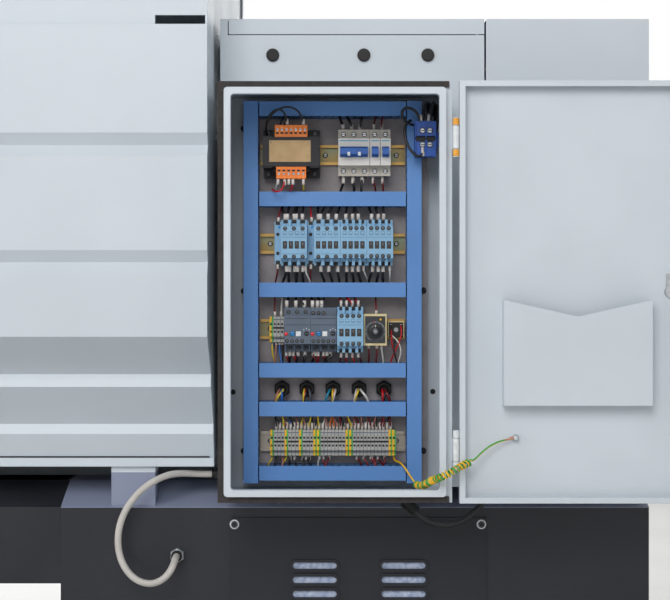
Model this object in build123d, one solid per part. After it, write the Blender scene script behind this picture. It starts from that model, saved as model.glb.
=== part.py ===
"""CNC turning lathe with a flat bed, a full guard and an open electrical cabinet on its back.

Millimetres. +X runs along the spindle from headstock to tailstock, +Y to the rear (the cabinet's side)
and +Z up. The origin is the centre of the four floor anchors, on the floor.
"""

import math
import os

from build123d import *

# Clearances that the whole machine shares
RUN_CLEAR = 0.3
BEARING_CLEAR = 0.05
OVERRUN = 5.0

# Floor pads
ANCHOR_INSET_X = 120.0
ANCHOR_SPAN_Y = 560.0
ANCHOR_HOLE_R = 13.0
PAD_SIDE = 120.0
PAD_THICK = 30.0

# Base: two hollow pedestals with sloped shoulders and a chip pan between them
BASE_LENGTH = 2200.0
BASE_DEPTH = 700.0
SHOULDER_Z = 515.0
SHOULDER_RUN = 100.0
DECK_Z = 551.0
CAST_WALL = 14.0
FOOT_THICK = 20.0
HEAD_PEDESTAL_LENGTH = 1040.0
TAIL_PEDESTAL_LENGTH = 540.0
PAN_FLOOR_Z = 380.0
PAN_WALL = 6.0

# Louvred access cover on the rear of the headstock pedestal
ACCESS_COVER_WIDTH = 452.0
ACCESS_COVER_OFFSET = -42.0
ACCESS_COVER_BOTTOM_Z = 97.0
ACCESS_COVER_TOP_Z = 497.0
ACCESS_COVER_THICK = 3.0
ACCESS_COVER_LAP = 30.0
LOUVRE_COLUMN_OFFSETS = (36.0, -121.0)
LOUVRE_TOP_Z = 412.0
LOUVRE_PITCH = 25.0
LOUVRE_ROWS = 6
LOUVRE_LENGTH = 78.0
LOUVRE_HEIGHT = 12.0
LOUVRE_RIM = 5.0
LOUVRE_PROUD = 3.0
FILTER_THICK = 4.0
FILTER_GAP = 4.0

# Bed with a V way in front and a flat way behind
BED_END_GAP = 50.0
BED_HEAD_OVERHANG = 30.0
BED_WIDTH = 330.0
BED_WALL = 40.0
BED_TOP_Z = 880.0
BED_RIB_COUNT = 8
BED_RIB_THICK = 24.0
BED_RIB_INSET = 50.0
WAY_START_GAP = 30.0
V_WAY_Y = -145.0
V_WAY_HALF = 14.0
FLAT_WAY_Y = 145.0
FLAT_WAY_WIDTH = 30.0
FLAT_WAY_HEIGHT = 8.0

# Headstock casting, its sheet cover, lid and end cover
SPINDLE_Z = 1080.0
HEADSTOCK_LENGTH = 440.0
HEADSTOCK_COVER_GAP = 18.0
HEADSTOCK_WIDTH = 400.0
HEADSTOCK_TOP_Z = 1290.0
HEADSTOCK_WALL = 60.0
HEADSTOCK_FLOOR = 50.0
END_COVER_LENGTH = 288.0
COVER_SEAM = 3.0
HEAD_COVER_LENGTH = 467.0
COVER_REAR_Y = 350.0
COVER_FRONT_Y = -330.0
COVER_TOP_Z = 1378.0
COVER_SHEET = 2.0
LID_DROP = 27.0
LID_SEAM = 1.5
LID_END_STRIP = 15.0
NOSE_HOLE_R = 112.0
BAR_HOLE_R = 40.0
PLUG_R = 11.5
PLUG_STEM_R = 8.0
PLUG_STEM_LENGTH = 8.0
PLUG_PROUD = 6.0
PLUG_Z = 1314.0
PLUG_OFFSETS = (110.0, -51.0, -164.0)

# Spindle, belt drive and main motor
SPINDLE_R = 60.0
SPINDLE_BORE_R = 27.0
SPINDLE_TAIL_GAP = 15.0
NOSE_R = 95.0
NOSE_SET_BACK = 8.0
NOSE_LENGTH = 25.0
PULLEY_INSET = 140.0
PULLEY_WIDTH = 80.0
SPINDLE_PULLEY_R = 115.0
MOTOR_PULLEY_R = 70.0
PULLEY_FLANGE = 12.0
PULLEY_FLANGE_THICK = 6.0
BELT_THICK = 8.0
BELT_SIDE_GAP = 4.0
BELT_SLOT_MARGIN = 14.0
MOTOR_Z = 300.0
MOTOR_R = 105.0
MOTOR_INSET = 310.0
MOTOR_LENGTH = 360.0
MOTOR_SHAFT_R = 19.0
MOTOR_SHAFT_SEAT = 40.0
MOTOR_FOOT_WIDTH = 170.0
MOTOR_FOOT_INSET = 50.0
MOTOR_FIN_COUNT = 14
MOTOR_FIN_HEIGHT = 8.0
MOTOR_FIN_THICK = 5.0

# Three-jaw chuck
CHUCK_R = 125.0
CHUCK_LENGTH = 85.0
CHUCK_BORE_R = 32.0
JAW_WIDTH = 26.0
JAW_SLOT_DEPTH = 30.0
JAW_INNER_R = 42.0
JAW_OUTER_R = 112.0
JAW_STEP_R = 78.0
JAW_STEP_PROUD = 18.0
JAW_PROUD = 40.0
JAW_COUNT = 3

# Carriage: saddle, cross slide and indexing tool turret
SADDLE_REST = 390.0
SADDLE_LENGTH = 300.0
SADDLE_WIDTH = 430.0
SADDLE_THICK = 62.0
CROSS_RAIL_WIDTH = 120.0
CROSS_RAIL_HEIGHT = 25.0
NUT_WIDTH = 100.0
NUT_DEPTH = 74.0
NUT_DROP = 42.0
CROSS_SLIDE_Y = -150.0
CROSS_SLIDE_LENGTH = 300.0
CROSS_SLIDE_WIDTH = 190.0
CROSS_SLIDE_TOP_GAP = 30.0
TURRET_Y = -200.0
TURRET_SIDE = 160.0
TURRET_HEIGHT = 100.0
TURRET_BASE_THICK = 25.0
TOOL_SLOT = 32.0
TOOL_SHANK = 25.0
TOOL_REACH = 45.0
TURRET_CAP_R = 42.0
TURRET_CAP_HEIGHT = 18.0
CLAMP_SCREW_R = 7.0
CLAMP_SCREW_HEIGHT = 14.0
CLAMP_SCREW_OFFSET = 45.0

# Ball screw and its servo motor
SCREW_R = 16.0
SCREW_Z = 800.0
SCREW_TAIL_GAP = 190.0
BRACKET_LENGTH = 30.0
BRACKET_HALF = 30.0
SERVO_SIDE = 96.0
SERVO_BED_GAP = 2.0
SERVO_LENGTH = 150.0
SERVO_CAP_SIDE = 84.0
SERVO_CAP_LENGTH = 40.0

# Tailstock
TAILSTOCK_LENGTH = 160.0
TAILSTOCK_REST = 110.0
TAILSTOCK_FOOT_WIDTH = 350.0
TAILSTOCK_FOOT_THICK = 42.0
TAILSTOCK_BODY_WIDTH = 150.0
TAILSTOCK_CROWN = 70.0
QUILL_R = 35.0
QUILL_PROUD = 80.0
QUILL_TAIL_GAP = 10.0
CENTRE_R = 22.0
CENTRE_LENGTH = 40.0
TAILSTOCK_REAR_WALL = 18.0
TAIL_SHAFT_R = 12.0
TAIL_WHEEL_R = 85.0
TAIL_WHEEL_RIM_R = 9.0
TAIL_WHEEL_HUB_R = 20.0
TAIL_WHEEL_HUB_LENGTH = 40.0
TAIL_WHEEL_SPOKE_R = 7.0
TAIL_WHEEL_SPOKES = 3

# Guard around the working space
GUARD_GAP = 11.0
GUARD_END_GAP = 40.0
GUARD_REAR_Y = 500.0
GUARD_TOP_Z = 1344.0
GUARD_SHEET = 2.0
GROOVE_ROW_Z = (1142.0, 945.0)
GROOVE_HALF = 20.0
GROOVE_DEPTH = 14.0
GUARD_BEND_Z = 820.0
GUARD_TUCK_IN = 155.0
GUARD_TUCK_DROP = 218.0
TUCK_SHARES = ((0.535, 0.305), (0.497, 0.405), (0.897, 0.72), (0.865, 0.80), (1.0, 1.0))
GUARD_RETURN_Y = 250.0
GUARD_TOP_FLANGE = 24.0
GUARD_RAIL_HEIGHT = 15.0
GUARD_RAIL_PROUD = 8.0
GUARD_FOOT_WIDTH = 78.0
GUARD_FOOT_DEPTH = 45.0
GUARD_FOOT_SHARES = (0.0748, 0.4457, 0.8483)
HOOD_TOP_Z = 1650.0
HOOD_SET_BACK = 8.0
HOOD_SLOT_INSET = 4.0
HOOD_SLOT_LENGTH = 84.0
HOOD_SLOT_HEIGHT = 16.0
HOOD_FRONT_DROP = 90.0
FRONT_FRAME_Y = -440.0
FIXED_PANEL_LAP = 40.0
APRON_FOOT_Z = 440.0
APRON_BEND_Z = 500.0
SILL_Z = 604.0
SILL_REACH = 34.0
SILL_RAIL_WIDTH = 6.0
SILL_RAIL_HEIGHT = 6.0
SILL_RAIL_INSET = 12.0

# Sliding front door
DOOR_GAP = 4.0
DOOR_THICK = 24.0
DOOR_WIDTH = 776.0
DOOR_END_LAP = 5.0
DOOR_TOP_Z = 1590.0
WINDOW_INSET_HEAD = 116.0
WINDOW_INSET_TAIL = 160.0
WINDOW_Z = (1020.0, 1420.0)
WINDOW_LAP = 18.0
WINDOW_THICK = 6.0
HANDLE_INSET = 60.0
HANDLE_Z = (960.0, 1240.0)
HANDLE_R = 12.0
HANDLE_REACH = 48.0

# Operator's control box on the front of the headstock cover
CONTROL_INSET_HEAD = 19.0
CONTROL_INSET_TAIL = 78.0
CONTROL_Z = (960.0, 1380.0)
CONTROL_DEPTH = 150.0
CONTROL_FASCIA_INSET = 16.0
CONTROL_FASCIA_THICK = 4.0
SCREEN_INSET = 30.0
SCREEN_WIDTH = 220.0
SCREEN_HEIGHT = 160.0
SCREEN_RECESS = 3.0
STOP_R = 20.0
STOP_CAP_LENGTH = 22.0
STOP_STEM_R = 10.0
STOP_TRAVEL = 5.0
STOP_INSET = 50.0
CONTROL_ROW_RISE = 50.0
KNOB_R = 16.0
KNOB_LENGTH = 18.0
KNOB_INSET = 120.0
PULSE_WHEEL_R = 36.0
PULSE_WHEEL_LENGTH = 16.0
PULSE_WHEEL_INSET = 100.0
PULSE_WHEEL_RISE = 70.0
PULSE_GRIP_R = 6.0
PULSE_GRIP_LENGTH = 24.0
CONTROL_STEM_R = 8.0
CONTROL_STEM_LENGTH = 26.0

# Electrical cabinet: a folded box with a sealing lip round its opening
CABINET_INSET = 203.0
CABINET_WIDTH = 384.0
CABINET_Z = (550.0, 1240.0)
CABINET_FLANGE_Y = 556.0
CABINET_WALL = 2.0
LIP_INSET = 10.5
LIP_WIDTH = 11.0
LIP_PROUD = 14.0
LIP_CORNER_R = 6.0
GASKET_WIDTH = 10.0
GASKET_THICK = 5.0
GASKET_HINGE_GAP = 5.0

# Mounting plate on standoffs
PLATE_WIDTH = 324.0
PLATE_MARGIN = 14.0
PLATE_GAP = 18.0
PLATE_THICK = 2.0
STANDOFF_R = 6.0
STANDOFF_INSET = 8.0

# Slotted wiring ducts; rows are shares of the plate's height
DUCT_WIDTH = 25.0
DUCT_DEPTH = 50.0
DUCT_WALL = 1.6
DUCT_LID_THICK = 2.0
DUCT_SLOT_PITCH = 12.5
DUCT_SLOT_WIDTH = 5.0
DUCT_SLOT_DEPTH = 34.0
DUCT_END_GAP = 2.0
DUCT_COLUMN_OFFSETS = (145.0, -136.5)
DUCT_ROW_SHARES = (0.980, 0.744, 0.506, 0.2955, 0.194, 0.0258)

# DIN rails
RAIL_WIDTH = 35.0
RAIL_DEPTH = 7.5
RAIL_CROWN = 27.0
RAIL_SHEET = 1.0
RAIL_ROW_SHARES = {"breakers": 0.8645, "contactors": 0.6287, "relays": 0.402, "terminals": 0.104}

# Control transformer
TRANSFORMER_OFFSET = 75.0
TRANSFORMER_WIDTH = 98.0
TRANSFORMER_HEIGHT = 50.0
TRANSFORMER_DEPTH = 66.0
TRANSFORMER_FOOT_HEIGHT = 82.0
TRANSFORMER_FOOT_DEPTH = 22.0
TRANSFORMER_COIL_HEIGHT = 66.0
TRANSFORMER_COIL_WIDTH = 62.0
TRANSFORMER_COIL_DEPTH = 46.0
TRANSFORMER_TERMINAL_WIDTHS = (55.0, 50.0)
TRANSFORMER_TERMINAL_HEIGHT = 21.0
TRANSFORMER_TERMINAL_DEPTH = 18.0

# Modular circuit breakers: a wide base with a narrower nose that holds the toggle
BREAKER_START = -5.5
POLE_WIDTH = 18.0
BREAKER_POLE_COUNTS = (3, 1, 1)
DEVICE_GAP = 0.3
BREAKER_HEIGHT = 80.0
BREAKER_BASE_DEPTH = 44.0
BREAKER_NOSE_HEIGHT = 46.0
BREAKER_NOSE_DEPTH = 62.0
TOGGLE_R = 9.0
TOGGLE_LENGTH = 9.0
TOGGLE_SIDE = 3.5
TOGGLE_HEIGHT = 10.0

# Contactors with narrow suppressor modules beside two of them
CONTACTOR_START = 104.0
CONTACTOR_WIDTH = 45.0
SUPPRESSOR_WIDTH = 11.5
CONTACTOR_ORDER = ("suppressor", "contactor", "suppressor", "contactor", "contactor", "contactor")
CONTACTOR_HEIGHT = 78.0
CONTACTOR_BASE_DEPTH = 52.0
CONTACTOR_NOSE_HEIGHT = 54.0
CONTACTOR_DEPTH = 78.0
SUPPRESSOR_HEIGHT = 72.0
SUPPRESSOR_DEPTH = 50.0

# Relay row: small terminals, overload relays, one more contactor, a timer and a rectifier
RELAY_TERMINAL_START = 113.0
RELAY_TERMINAL_COUNT = 4
OVERLOAD_START = 87.0
OVERLOAD_WIDTH = 45.0
OVERLOAD_COUNT = 2
OVERLOAD_HEIGHT = 76.0
OVERLOAD_TOP_DEPTH = 56.0
OVERLOAD_DEPTH = 72.0
OVERLOAD_FOOT_HEIGHT = 14.0
OVERLOAD_FOOT_DEPTH = 40.0
LAST_CONTACTOR_START = -3.5
TIMER_START = -49.5
TIMER_WIDTH = 39.0
TIMER_HEIGHT = 54.0
TIMER_DEPTH = 62.0
DIAL_R = 15.0
DIAL_LENGTH = 8.0
DIAL_STEM_R = 4.0
DIAL_STEM_LENGTH = 10.0
DIAL_DROP = 3.0
RECTIFIER_START = -92.0
RECTIFIER_SIDE = 28.0
RECTIFIER_DEPTH = 22.0

# Terminal strip
TERMINAL_START = 112.0
TERMINAL_WIDTH = 6.2
TERMINAL_COUNT = 35
TERMINAL_HEIGHT = 44.0
TERMINAL_DEPTH = 40.0
TERMINAL_STEP_HEIGHT = 24.0
TERMINAL_STEP_DEPTH = 31.0

# Supply terminal block on the cabinet's hinge-side wall
SUPPLY_WIDTH = 36.0
SUPPLY_HEIGHT = 60.0
SUPPLY_DEPTH = 30.0
SUPPLY_WALL_GAP = 18.0
SUPPLY_DUCT_GAP = 3.0
SUPPLY_Z = 1156.0
SUPPLY_ARM = 24.0
SUPPLY_WAIST = 10.0
SUPPLY_WAIST_DEPTH = 6.0

# Cable glands: on the plate, on the pedestal and under the cabinet
GLAND_OFFSETS = (92.5, 49.0, 3.5, -42.0, -85.5)
GLAND_ROW_SHARE = 0.243
GLAND_HEX_R = 15.0
GLAND_HEX_LENGTH = 10.0
GLAND_DOME_R = 12.0
GLAND_DOME_LENGTH = 14.0
GLAND_BORE_R = 8.0

# Cabinet door: a folded tray, shown open and lying flat beside the cabinet
HINGE_GAP = 5.7
HINGE_AXIS_PROUD = 10.0
HINGE_R = 4.6
HINGE_PIN_R = 2.0
HINGE_MIDDLE = 38.0
HINGE_END = 13.0
HINGE_LEAF_THICK = 3.5
HINGE_LEAF_DEPTH = 34.0
HINGE_ROW_Z = (1147.5, 637.0)
DOOR_SHEET = 1.5
DOOR_DEPTH = 20.0
DOOR_RETURN = 9.5
DOOR_PLANE_GAP = 6.0
POCKET_WIDTH = 242.0
POCKET_BOTTOM_Z = 710.0
POCKET_SIDE_Z = 882.0
POCKET_DIP = 27.0
POCKET_DEPTH = 28.0
STUD_INSET = 92.3
STUD_Z = 656.0
STUD_R = 3.0
STUD_NUT_R = 6.0
STUD_NUT_THICK = 5.0
STUD_LENGTH = 12.0
LOCK_INSET = 36.0
LOCK_R = 10.0
LOCK_HANDLE_R = 14.0
LOCK_HANDLE_THICK = 8.0
LOCK_CAM_LENGTH = 30.0
LOCK_CAM_WIDTH = 16.0
LOCK_CAM_THICK = 3.0

# Free cords. The points of each route are chosen by hand, with X counted from the cabinet's middle.
CORD_ARC_SHARE = 0.45
CONDUIT_R = 6.0
CONDUIT_ROUTE = [
    (219, 326, 571),
    (243, 326, 571),
    (267, 340, 574),
    (290, 360, 574.5),
    (314, 374, 566),
    (337, 382, 551),
    (356, 386, 530),
    (370, 389, 506),
    (377, 392, 481),
    (378, 395, 455),
    (373, 398, 432),
    (363, 401, 413),
    (349, 405, 399),
    (333, 408, 391.5),
    (316, 410, 390),
    (300, 410, 396),
    (288, 407, 407),
    (281, 400, 420),
    (278.4, 387, 430.8),
    (278.4, 370, 430.8),
]
CABLE_R = 5.5
CABLE_ROUTE = [
    (-137.4, 450, 521.6),
    (-151.4, 450, 507.6),
    (-170, 446, 499),
    (-192, 441, 496.5),
    (-215, 434, 501),
    (-236, 426, 513),
    (-254, 417, 530),
    (-268, 408, 550),
    (-278, 397, 570),
    (-285, 383, 588),
    (-285, 366, 588),
]
EARTH_R = 2.0
EARTH_COIL_R = 7.5
EARTH_TERMINAL_ROUTE = [
    (-102, 402, 611.9),
    (-102, 402, 607.5),
    (-104, 407, 603),
    (-110, 418, 602),
    (-116, 429, 598.5),
    (-123, 437, 589),
    (-131, 441, 577),
    (-136, 445, 569.8),
]
EARTH_COIL_ROUTE = [
    (-136, 445, 569.8),
    (-141, 468, 567),
    (-146.5, 502, 571),
    (-152, 540, 579),
    (-157, 570, 587),
    (-163, 585, 591.5),
    (-172, 594, 596),
    (-185, 597, 602.5),
    (-198, 594, 609.5),
    (-208.5, 588, 615),
    (-217, 580, 617.5),
]
EARTH_DOOR_ROUTE = [
    (-217, 580, 617.5),
    (-227, 575, 622),
    (-238, 571, 632.6),
    (-251.2, 568, 642.9),
    (-266.2, 565, 650),
    (-281.2, 561, 653.5),
    (-292.4, 559, 655.5),
]
CORD_GLAND_HEX_R = 11.5
CORD_GLAND_HEX_LENGTH = 10.0
CORD_GLAND_DOME_R = 9.5
CORD_GLAND_ANGLE = 45.0
CORD_GLAND_BOSS = 26.0

# Derived places
BASE_X = (-BASE_LENGTH / 2, BASE_LENGTH / 2)
ANCHOR_SPAN_X = BASE_LENGTH - 2 * ANCHOR_INSET_X
HEAD_PEDESTAL_X = (BASE_X[0], BASE_X[0] + HEAD_PEDESTAL_LENGTH)
TAIL_PEDESTAL_X = (BASE_X[1] - TAIL_PEDESTAL_LENGTH, BASE_X[1])
REAR_Y = BASE_DEPTH / 2
END_COVER_X = (BASE_X[0], BASE_X[0] + END_COVER_LENGTH)
HEAD_COVER_X = (END_COVER_X[1] + COVER_SEAM, END_COVER_X[1] + COVER_SEAM + HEAD_COVER_LENGTH)
HEADSTOCK_END_X = HEAD_COVER_X[1] - HEADSTOCK_COVER_GAP
HEADSTOCK_X = (HEADSTOCK_END_X - HEADSTOCK_LENGTH, HEADSTOCK_END_X)
BED_X = (HEADSTOCK_X[0] - BED_HEAD_OVERHANG, BASE_X[1] - BED_END_GAP)
WAY_START_X = HEADSTOCK_X[1] + WAY_START_GAP
SPINDLE_TAIL_X = BASE_X[0] + SPINDLE_TAIL_GAP
NOSE_X = (HEAD_COVER_X[1] - NOSE_SET_BACK, HEAD_COVER_X[1] - NOSE_SET_BACK + NOSE_LENGTH)
CHUCK_X = (NOSE_X[1], NOSE_X[1] + CHUCK_LENGTH)
PULLEY_X = (BASE_X[0] + PULLEY_INSET, BASE_X[0] + PULLEY_INSET + PULLEY_WIDTH)
MOTOR_X = (BASE_X[0] + MOTOR_INSET, BASE_X[0] + MOTOR_INSET + MOTOR_LENGTH)
MOTOR_FOOT_X = (MOTOR_X[0] + MOTOR_FOOT_INSET, MOTOR_X[1] - MOTOR_FOOT_INSET)
SADDLE_X = CHUCK_X[1] + SADDLE_REST
SADDLE_BOTTOM_Z = BED_TOP_Z + FLAT_WAY_HEIGHT + RUN_CLEAR
SADDLE_TOP_Z = SADDLE_BOTTOM_Z + SADDLE_THICK
CROSS_SLIDE_TOP_Z = SADDLE_TOP_Z + CROSS_RAIL_HEIGHT + CROSS_SLIDE_TOP_GAP
TURRET_BOTTOM_Z = CROSS_SLIDE_TOP_Z + TURRET_BASE_THICK + RUN_CLEAR
SCREW_Y = -BED_WIDTH / 2 - SERVO_BED_GAP - SERVO_SIDE / 2
SCREW_HEAD_X = WAY_START_X
SCREW_TAIL_X = BED_X[1] - SCREW_TAIL_GAP
TAILSTOCK_X = (BED_X[1] - TAILSTOCK_REST - TAILSTOCK_LENGTH, BED_X[1] - TAILSTOCK_REST)
GUARD_X = (HEAD_COVER_X[1] + GUARD_GAP, BASE_X[1] - GUARD_END_GAP)
GUARD_BOTTOM_Z = GUARD_BEND_Z - GUARD_TUCK_DROP
DOOR_X = (GUARD_X[0] - DOOR_END_LAP, GUARD_X[0] - DOOR_END_LAP + DOOR_WIDTH)
FIXED_PANEL_X = DOOR_X[1] - FIXED_PANEL_LAP
DOOR_OUTER_Y = FRONT_FRAME_Y - DOOR_GAP - GUARD_SHEET - DOOR_THICK
DOOR_BOTTOM_Z = SILL_Z + GUARD_SHEET + SILL_RAIL_HEIGHT + RUN_CLEAR
WINDOW_X = (DOOR_X[0] + WINDOW_INSET_HEAD, DOOR_X[1] - WINDOW_INSET_TAIL)
CONTROL_X = (HEAD_COVER_X[0] + CONTROL_INSET_HEAD, HEAD_COVER_X[1] - CONTROL_INSET_TAIL)
CONTROL_FRONT_Y = COVER_FRONT_Y - CONTROL_DEPTH
FASCIA_FRONT_Y = CONTROL_FRONT_Y - CONTROL_FASCIA_THICK
SCREEN_X = (CONTROL_X[0] + SCREEN_INSET, CONTROL_X[0] + SCREEN_INSET + SCREEN_WIDTH)
SCREEN_Z = (CONTROL_Z[1] - SCREEN_INSET - SCREEN_HEIGHT, CONTROL_Z[1] - SCREEN_INSET)
STOP_PLACE = (CONTROL_X[1] - STOP_INSET, CONTROL_Z[0] + CONTROL_ROW_RISE)
KNOB_PLACE = (CONTROL_X[1] - KNOB_INSET, CONTROL_Z[0] + CONTROL_ROW_RISE)
PULSE_WHEEL_PLACE = (CONTROL_X[0] + PULSE_WHEEL_INSET, CONTROL_Z[0] + PULSE_WHEEL_RISE)
CABINET_X = HEAD_COVER_X[1] - CABINET_INSET
CABINET_BACK_Y = COVER_REAR_Y
LIP_FRONT_Y = CABINET_FLANGE_Y + LIP_PROUD
PLATE_FRONT_Y = CABINET_BACK_Y + CABINET_WALL + PLATE_GAP + PLATE_THICK
PLATE_Z = (CABINET_Z[0] + CABINET_WALL + PLATE_MARGIN, CABINET_Z[1] - CABINET_WALL - PLATE_MARGIN)
RAIL_FRONT_Y = PLATE_FRONT_Y + RAIL_DEPTH
HINGE_X = CABINET_X - CABINET_WIDTH / 2 - HINGE_GAP
HINGE_Y = CABINET_FLANGE_Y + HINGE_AXIS_PROUD
OPEN_DOOR_X = (HINGE_X - HINGE_GAP - CABINET_WIDTH, HINGE_X - HINGE_GAP)
OPEN_DOOR_FRONT_Y = 2 * HINGE_Y - CABINET_FLANGE_Y - DOOR_PLANE_GAP
OPEN_DOOR_BACK_Y = OPEN_DOOR_FRONT_Y - DOOR_DEPTH
ACCESS_COVER_X = (
    CABINET_X + ACCESS_COVER_OFFSET - ACCESS_COVER_WIDTH / 2,
    CABINET_X + ACCESS_COVER_OFFSET + ACCESS_COVER_WIDTH / 2,
)


def around(centre, width):
    """The two ends of a width that is centred on a value."""
    return (centre - width / 2, centre + width / 2)


def inset(span, amount):
    """A span made shorter by an amount at each end."""
    return (span[0] + amount, span[1] - amount)


def block(x, y, z):
    """A box between two X, two Y and two Z values."""
    spans = (x, y, z)
    return Pos(*(sum(s) / 2 for s in spans)) * Box(*(s[1] - s[0] for s in spans))


def rod(axis, radius, span, across):
    """A cylinder along an axis between two values, centred on the two other coordinates in XYZ order."""
    middle = sum(span) / 2
    place = {
        "X": (middle, *across),
        "Y": (across[0], middle, across[1]),
        "Z": (*across, middle),
    }[axis]
    turn = {"X": Rot(0, 90, 0), "Y": Rot(90, 0, 0), "Z": Rot(0, 0, 0)}[axis]
    return Pos(*place) * turn * Cylinder(radius, span[1] - span[0])


def prism(axis, sheet, span):
    """A flat outline carried along X (drawn in Y, Z), Y (drawn in X, Z) or Z (drawn in X, Y)."""
    if isinstance(sheet, list):
        sheet = make_face(Polyline(*sheet, close=True))
    length = span[1] - span[0]
    if axis == "X":
        return Pos(span[0], 0, 0) * extrude(Plane.YZ * sheet, length)
    if axis == "Y":
        return Pos(0, span[1], 0) * extrude(Plane.XZ * sheet, length)
    return Pos(0, 0, span[0]) * extrude(sheet, length)


def joined(pieces):
    """Pieces of one casting, moulding or weldment fused to one solid."""
    whole = pieces[0]
    for piece in pieces[1:]:
        whole = whole + piece
    return whole


def together(pieces):
    """Separate solids that share a node."""
    return Compound([solid for piece in pieces for solid in piece.solids()])


def plate_row(share):
    """The height of a row on the mounting plate, from its share of the plate's height."""
    return PLATE_Z[0] + share * (PLATE_Z[1] - PLATE_Z[0])


# Base


def base_section(wall, floor_z):
    """The base's section across X: upright sides, sloped shoulders and a flat deck, inset by a wall."""
    half = BASE_DEPTH / 2 - wall
    deck_half = BASE_DEPTH / 2 - SHOULDER_RUN - wall
    return [
        (-half, floor_z),
        (half, floor_z),
        (half, SHOULDER_Z - wall),
        (deck_half, DECK_Z - wall),
        (-deck_half, DECK_Z - wall),
        (-half, SHOULDER_Z - wall),
    ]


def anchor_places(side_x):
    return [(side_x * ANCHOR_SPAN_X / 2, side_y * ANCHOR_SPAN_Y / 2) for side_y in (-1, 1)]


def levelling_pads():
    pads = []
    for place in anchor_places(-1) + anchor_places(1):
        pad = block(around(place[0], PAD_SIDE), around(place[1], PAD_SIDE), (0, PAD_THICK))
        pads.append(pad - rod("Z", ANCHOR_HOLE_R, (0, PAD_THICK), place))
    return together(pads)


def pedestal(x, side_x):
    shell = prism("X", base_section(0, PAD_THICK), x)
    shell -= prism("X", base_section(CAST_WALL, PAD_THICK + FOOT_THICK), inset(x, CAST_WALL))
    for place in anchor_places(side_x):
        shell -= rod("Z", ANCHOR_HOLE_R, (PAD_THICK, PAD_THICK + FOOT_THICK), place)
    return shell


def access_opening(margin):
    """The opening behind the louvred cover, made smaller by a margin."""
    lap = ACCESS_COVER_LAP + margin
    return inset(ACCESS_COVER_X, lap), inset((ACCESS_COVER_BOTTOM_Z, ACCESS_COVER_TOP_Z), lap)


def headstock_pedestal():
    opening_x, opening_z = access_opening(0)
    slot_half = SPINDLE_PULLEY_R + PULLEY_FLANGE + BELT_SLOT_MARGIN
    shell = pedestal(HEAD_PEDESTAL_X, -1)
    shell -= block(opening_x, (REAR_Y - CAST_WALL, REAR_Y), opening_z)
    shell -= block(inset(PULLEY_X, -BELT_SLOT_MARGIN), (-slot_half, slot_half), (DECK_Z - CAST_WALL, DECK_Z))
    return shell


def tailstock_pedestal():
    return pedestal(TAIL_PEDESTAL_X, 1)


def chip_pan():
    x = (HEAD_PEDESTAL_X[1], TAIL_PEDESTAL_X[0])
    mouth_half = BASE_DEPTH / 2 - SHOULDER_RUN - PAN_WALL
    pan = prism("X", base_section(0, PAN_FLOOR_Z), x)
    pan -= prism("X", base_section(PAN_WALL, PAN_FLOOR_Z + PAN_WALL), inset(x, PAN_WALL))
    return pan - block(inset(x, PAN_WALL), (-mouth_half, mouth_half), (DECK_Z - PAN_WALL, DECK_Z))


def louvre_places():
    return [
        (CABINET_X + offset, LOUVRE_TOP_Z - row * LOUVRE_PITCH)
        for offset in LOUVRE_COLUMN_OFFSETS
        for row in range(LOUVRE_ROWS)
    ]


def rear_access_cover():
    plate_y = (REAR_Y, REAR_Y + ACCESS_COVER_THICK)
    rim_y = (REAR_Y, REAR_Y + ACCESS_COVER_THICK + LOUVRE_PROUD)
    rim = SlotOverall(LOUVRE_LENGTH + 2 * LOUVRE_RIM, LOUVRE_HEIGHT + 2 * LOUVRE_RIM)
    slot = SlotOverall(LOUVRE_LENGTH, LOUVRE_HEIGHT)
    cover = block(ACCESS_COVER_X, plate_y, (ACCESS_COVER_BOTTOM_Z, ACCESS_COVER_TOP_Z))
    for place in louvre_places():
        cover += prism("Y", Pos(*place) * rim, rim_y)
    for place in louvre_places():
        cover -= prism("Y", Pos(*place) * slot, rim_y)
    return cover


def louvre_filter():
    opening_x, opening_z = access_opening(FILTER_GAP)
    return block(opening_x, (REAR_Y - FILTER_THICK, REAR_Y), opening_z)


# Bed, headstock and covers


def v_way_outline(lift):
    """The V way's ridge across X, raised by a running clearance where it cuts a sliding piece."""
    return [
        (V_WAY_Y - V_WAY_HALF, BED_TOP_Z + lift),
        (V_WAY_Y + V_WAY_HALF, BED_TOP_Z + lift),
        (V_WAY_Y, BED_TOP_Z + V_WAY_HALF + lift),
    ]


def bed():
    x = BED_X
    ways_x = (WAY_START_X, BED_X[1])
    half = BED_WIDTH / 2
    z = (DECK_Z, BED_TOP_Z)
    pieces = [block(x, (-half, -half + BED_WALL), z), block(x, (half - BED_WALL, half), z)]
    step = (x[1] - x[0] - 2 * BED_RIB_INSET) / (BED_RIB_COUNT - 1)
    for number in range(BED_RIB_COUNT):
        rib_x = around(x[0] + BED_RIB_INSET + number * step, BED_RIB_THICK)
        pieces.append(block(rib_x, (-half + BED_WALL, half - BED_WALL), inset(z, BED_RIB_INSET)))
    pieces.append(prism("X", v_way_outline(0), ways_x))
    flat_z = (BED_TOP_Z, BED_TOP_Z + FLAT_WAY_HEIGHT)
    pieces.append(block(ways_x, around(FLAT_WAY_Y, FLAT_WAY_WIDTH), flat_z))
    for start in (SCREW_HEAD_X, SCREW_TAIL_X):
        bracket_x = (start, start + BRACKET_LENGTH)
        arm = block(bracket_x, (SCREW_Y - BRACKET_HALF, -half), around(SCREW_Z, 2 * BRACKET_HALF))
        pieces.append(arm - rod("X", SCREW_R + BEARING_CLEAR, bracket_x, (SCREW_Y, SCREW_Z)))
    return joined(pieces)


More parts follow.
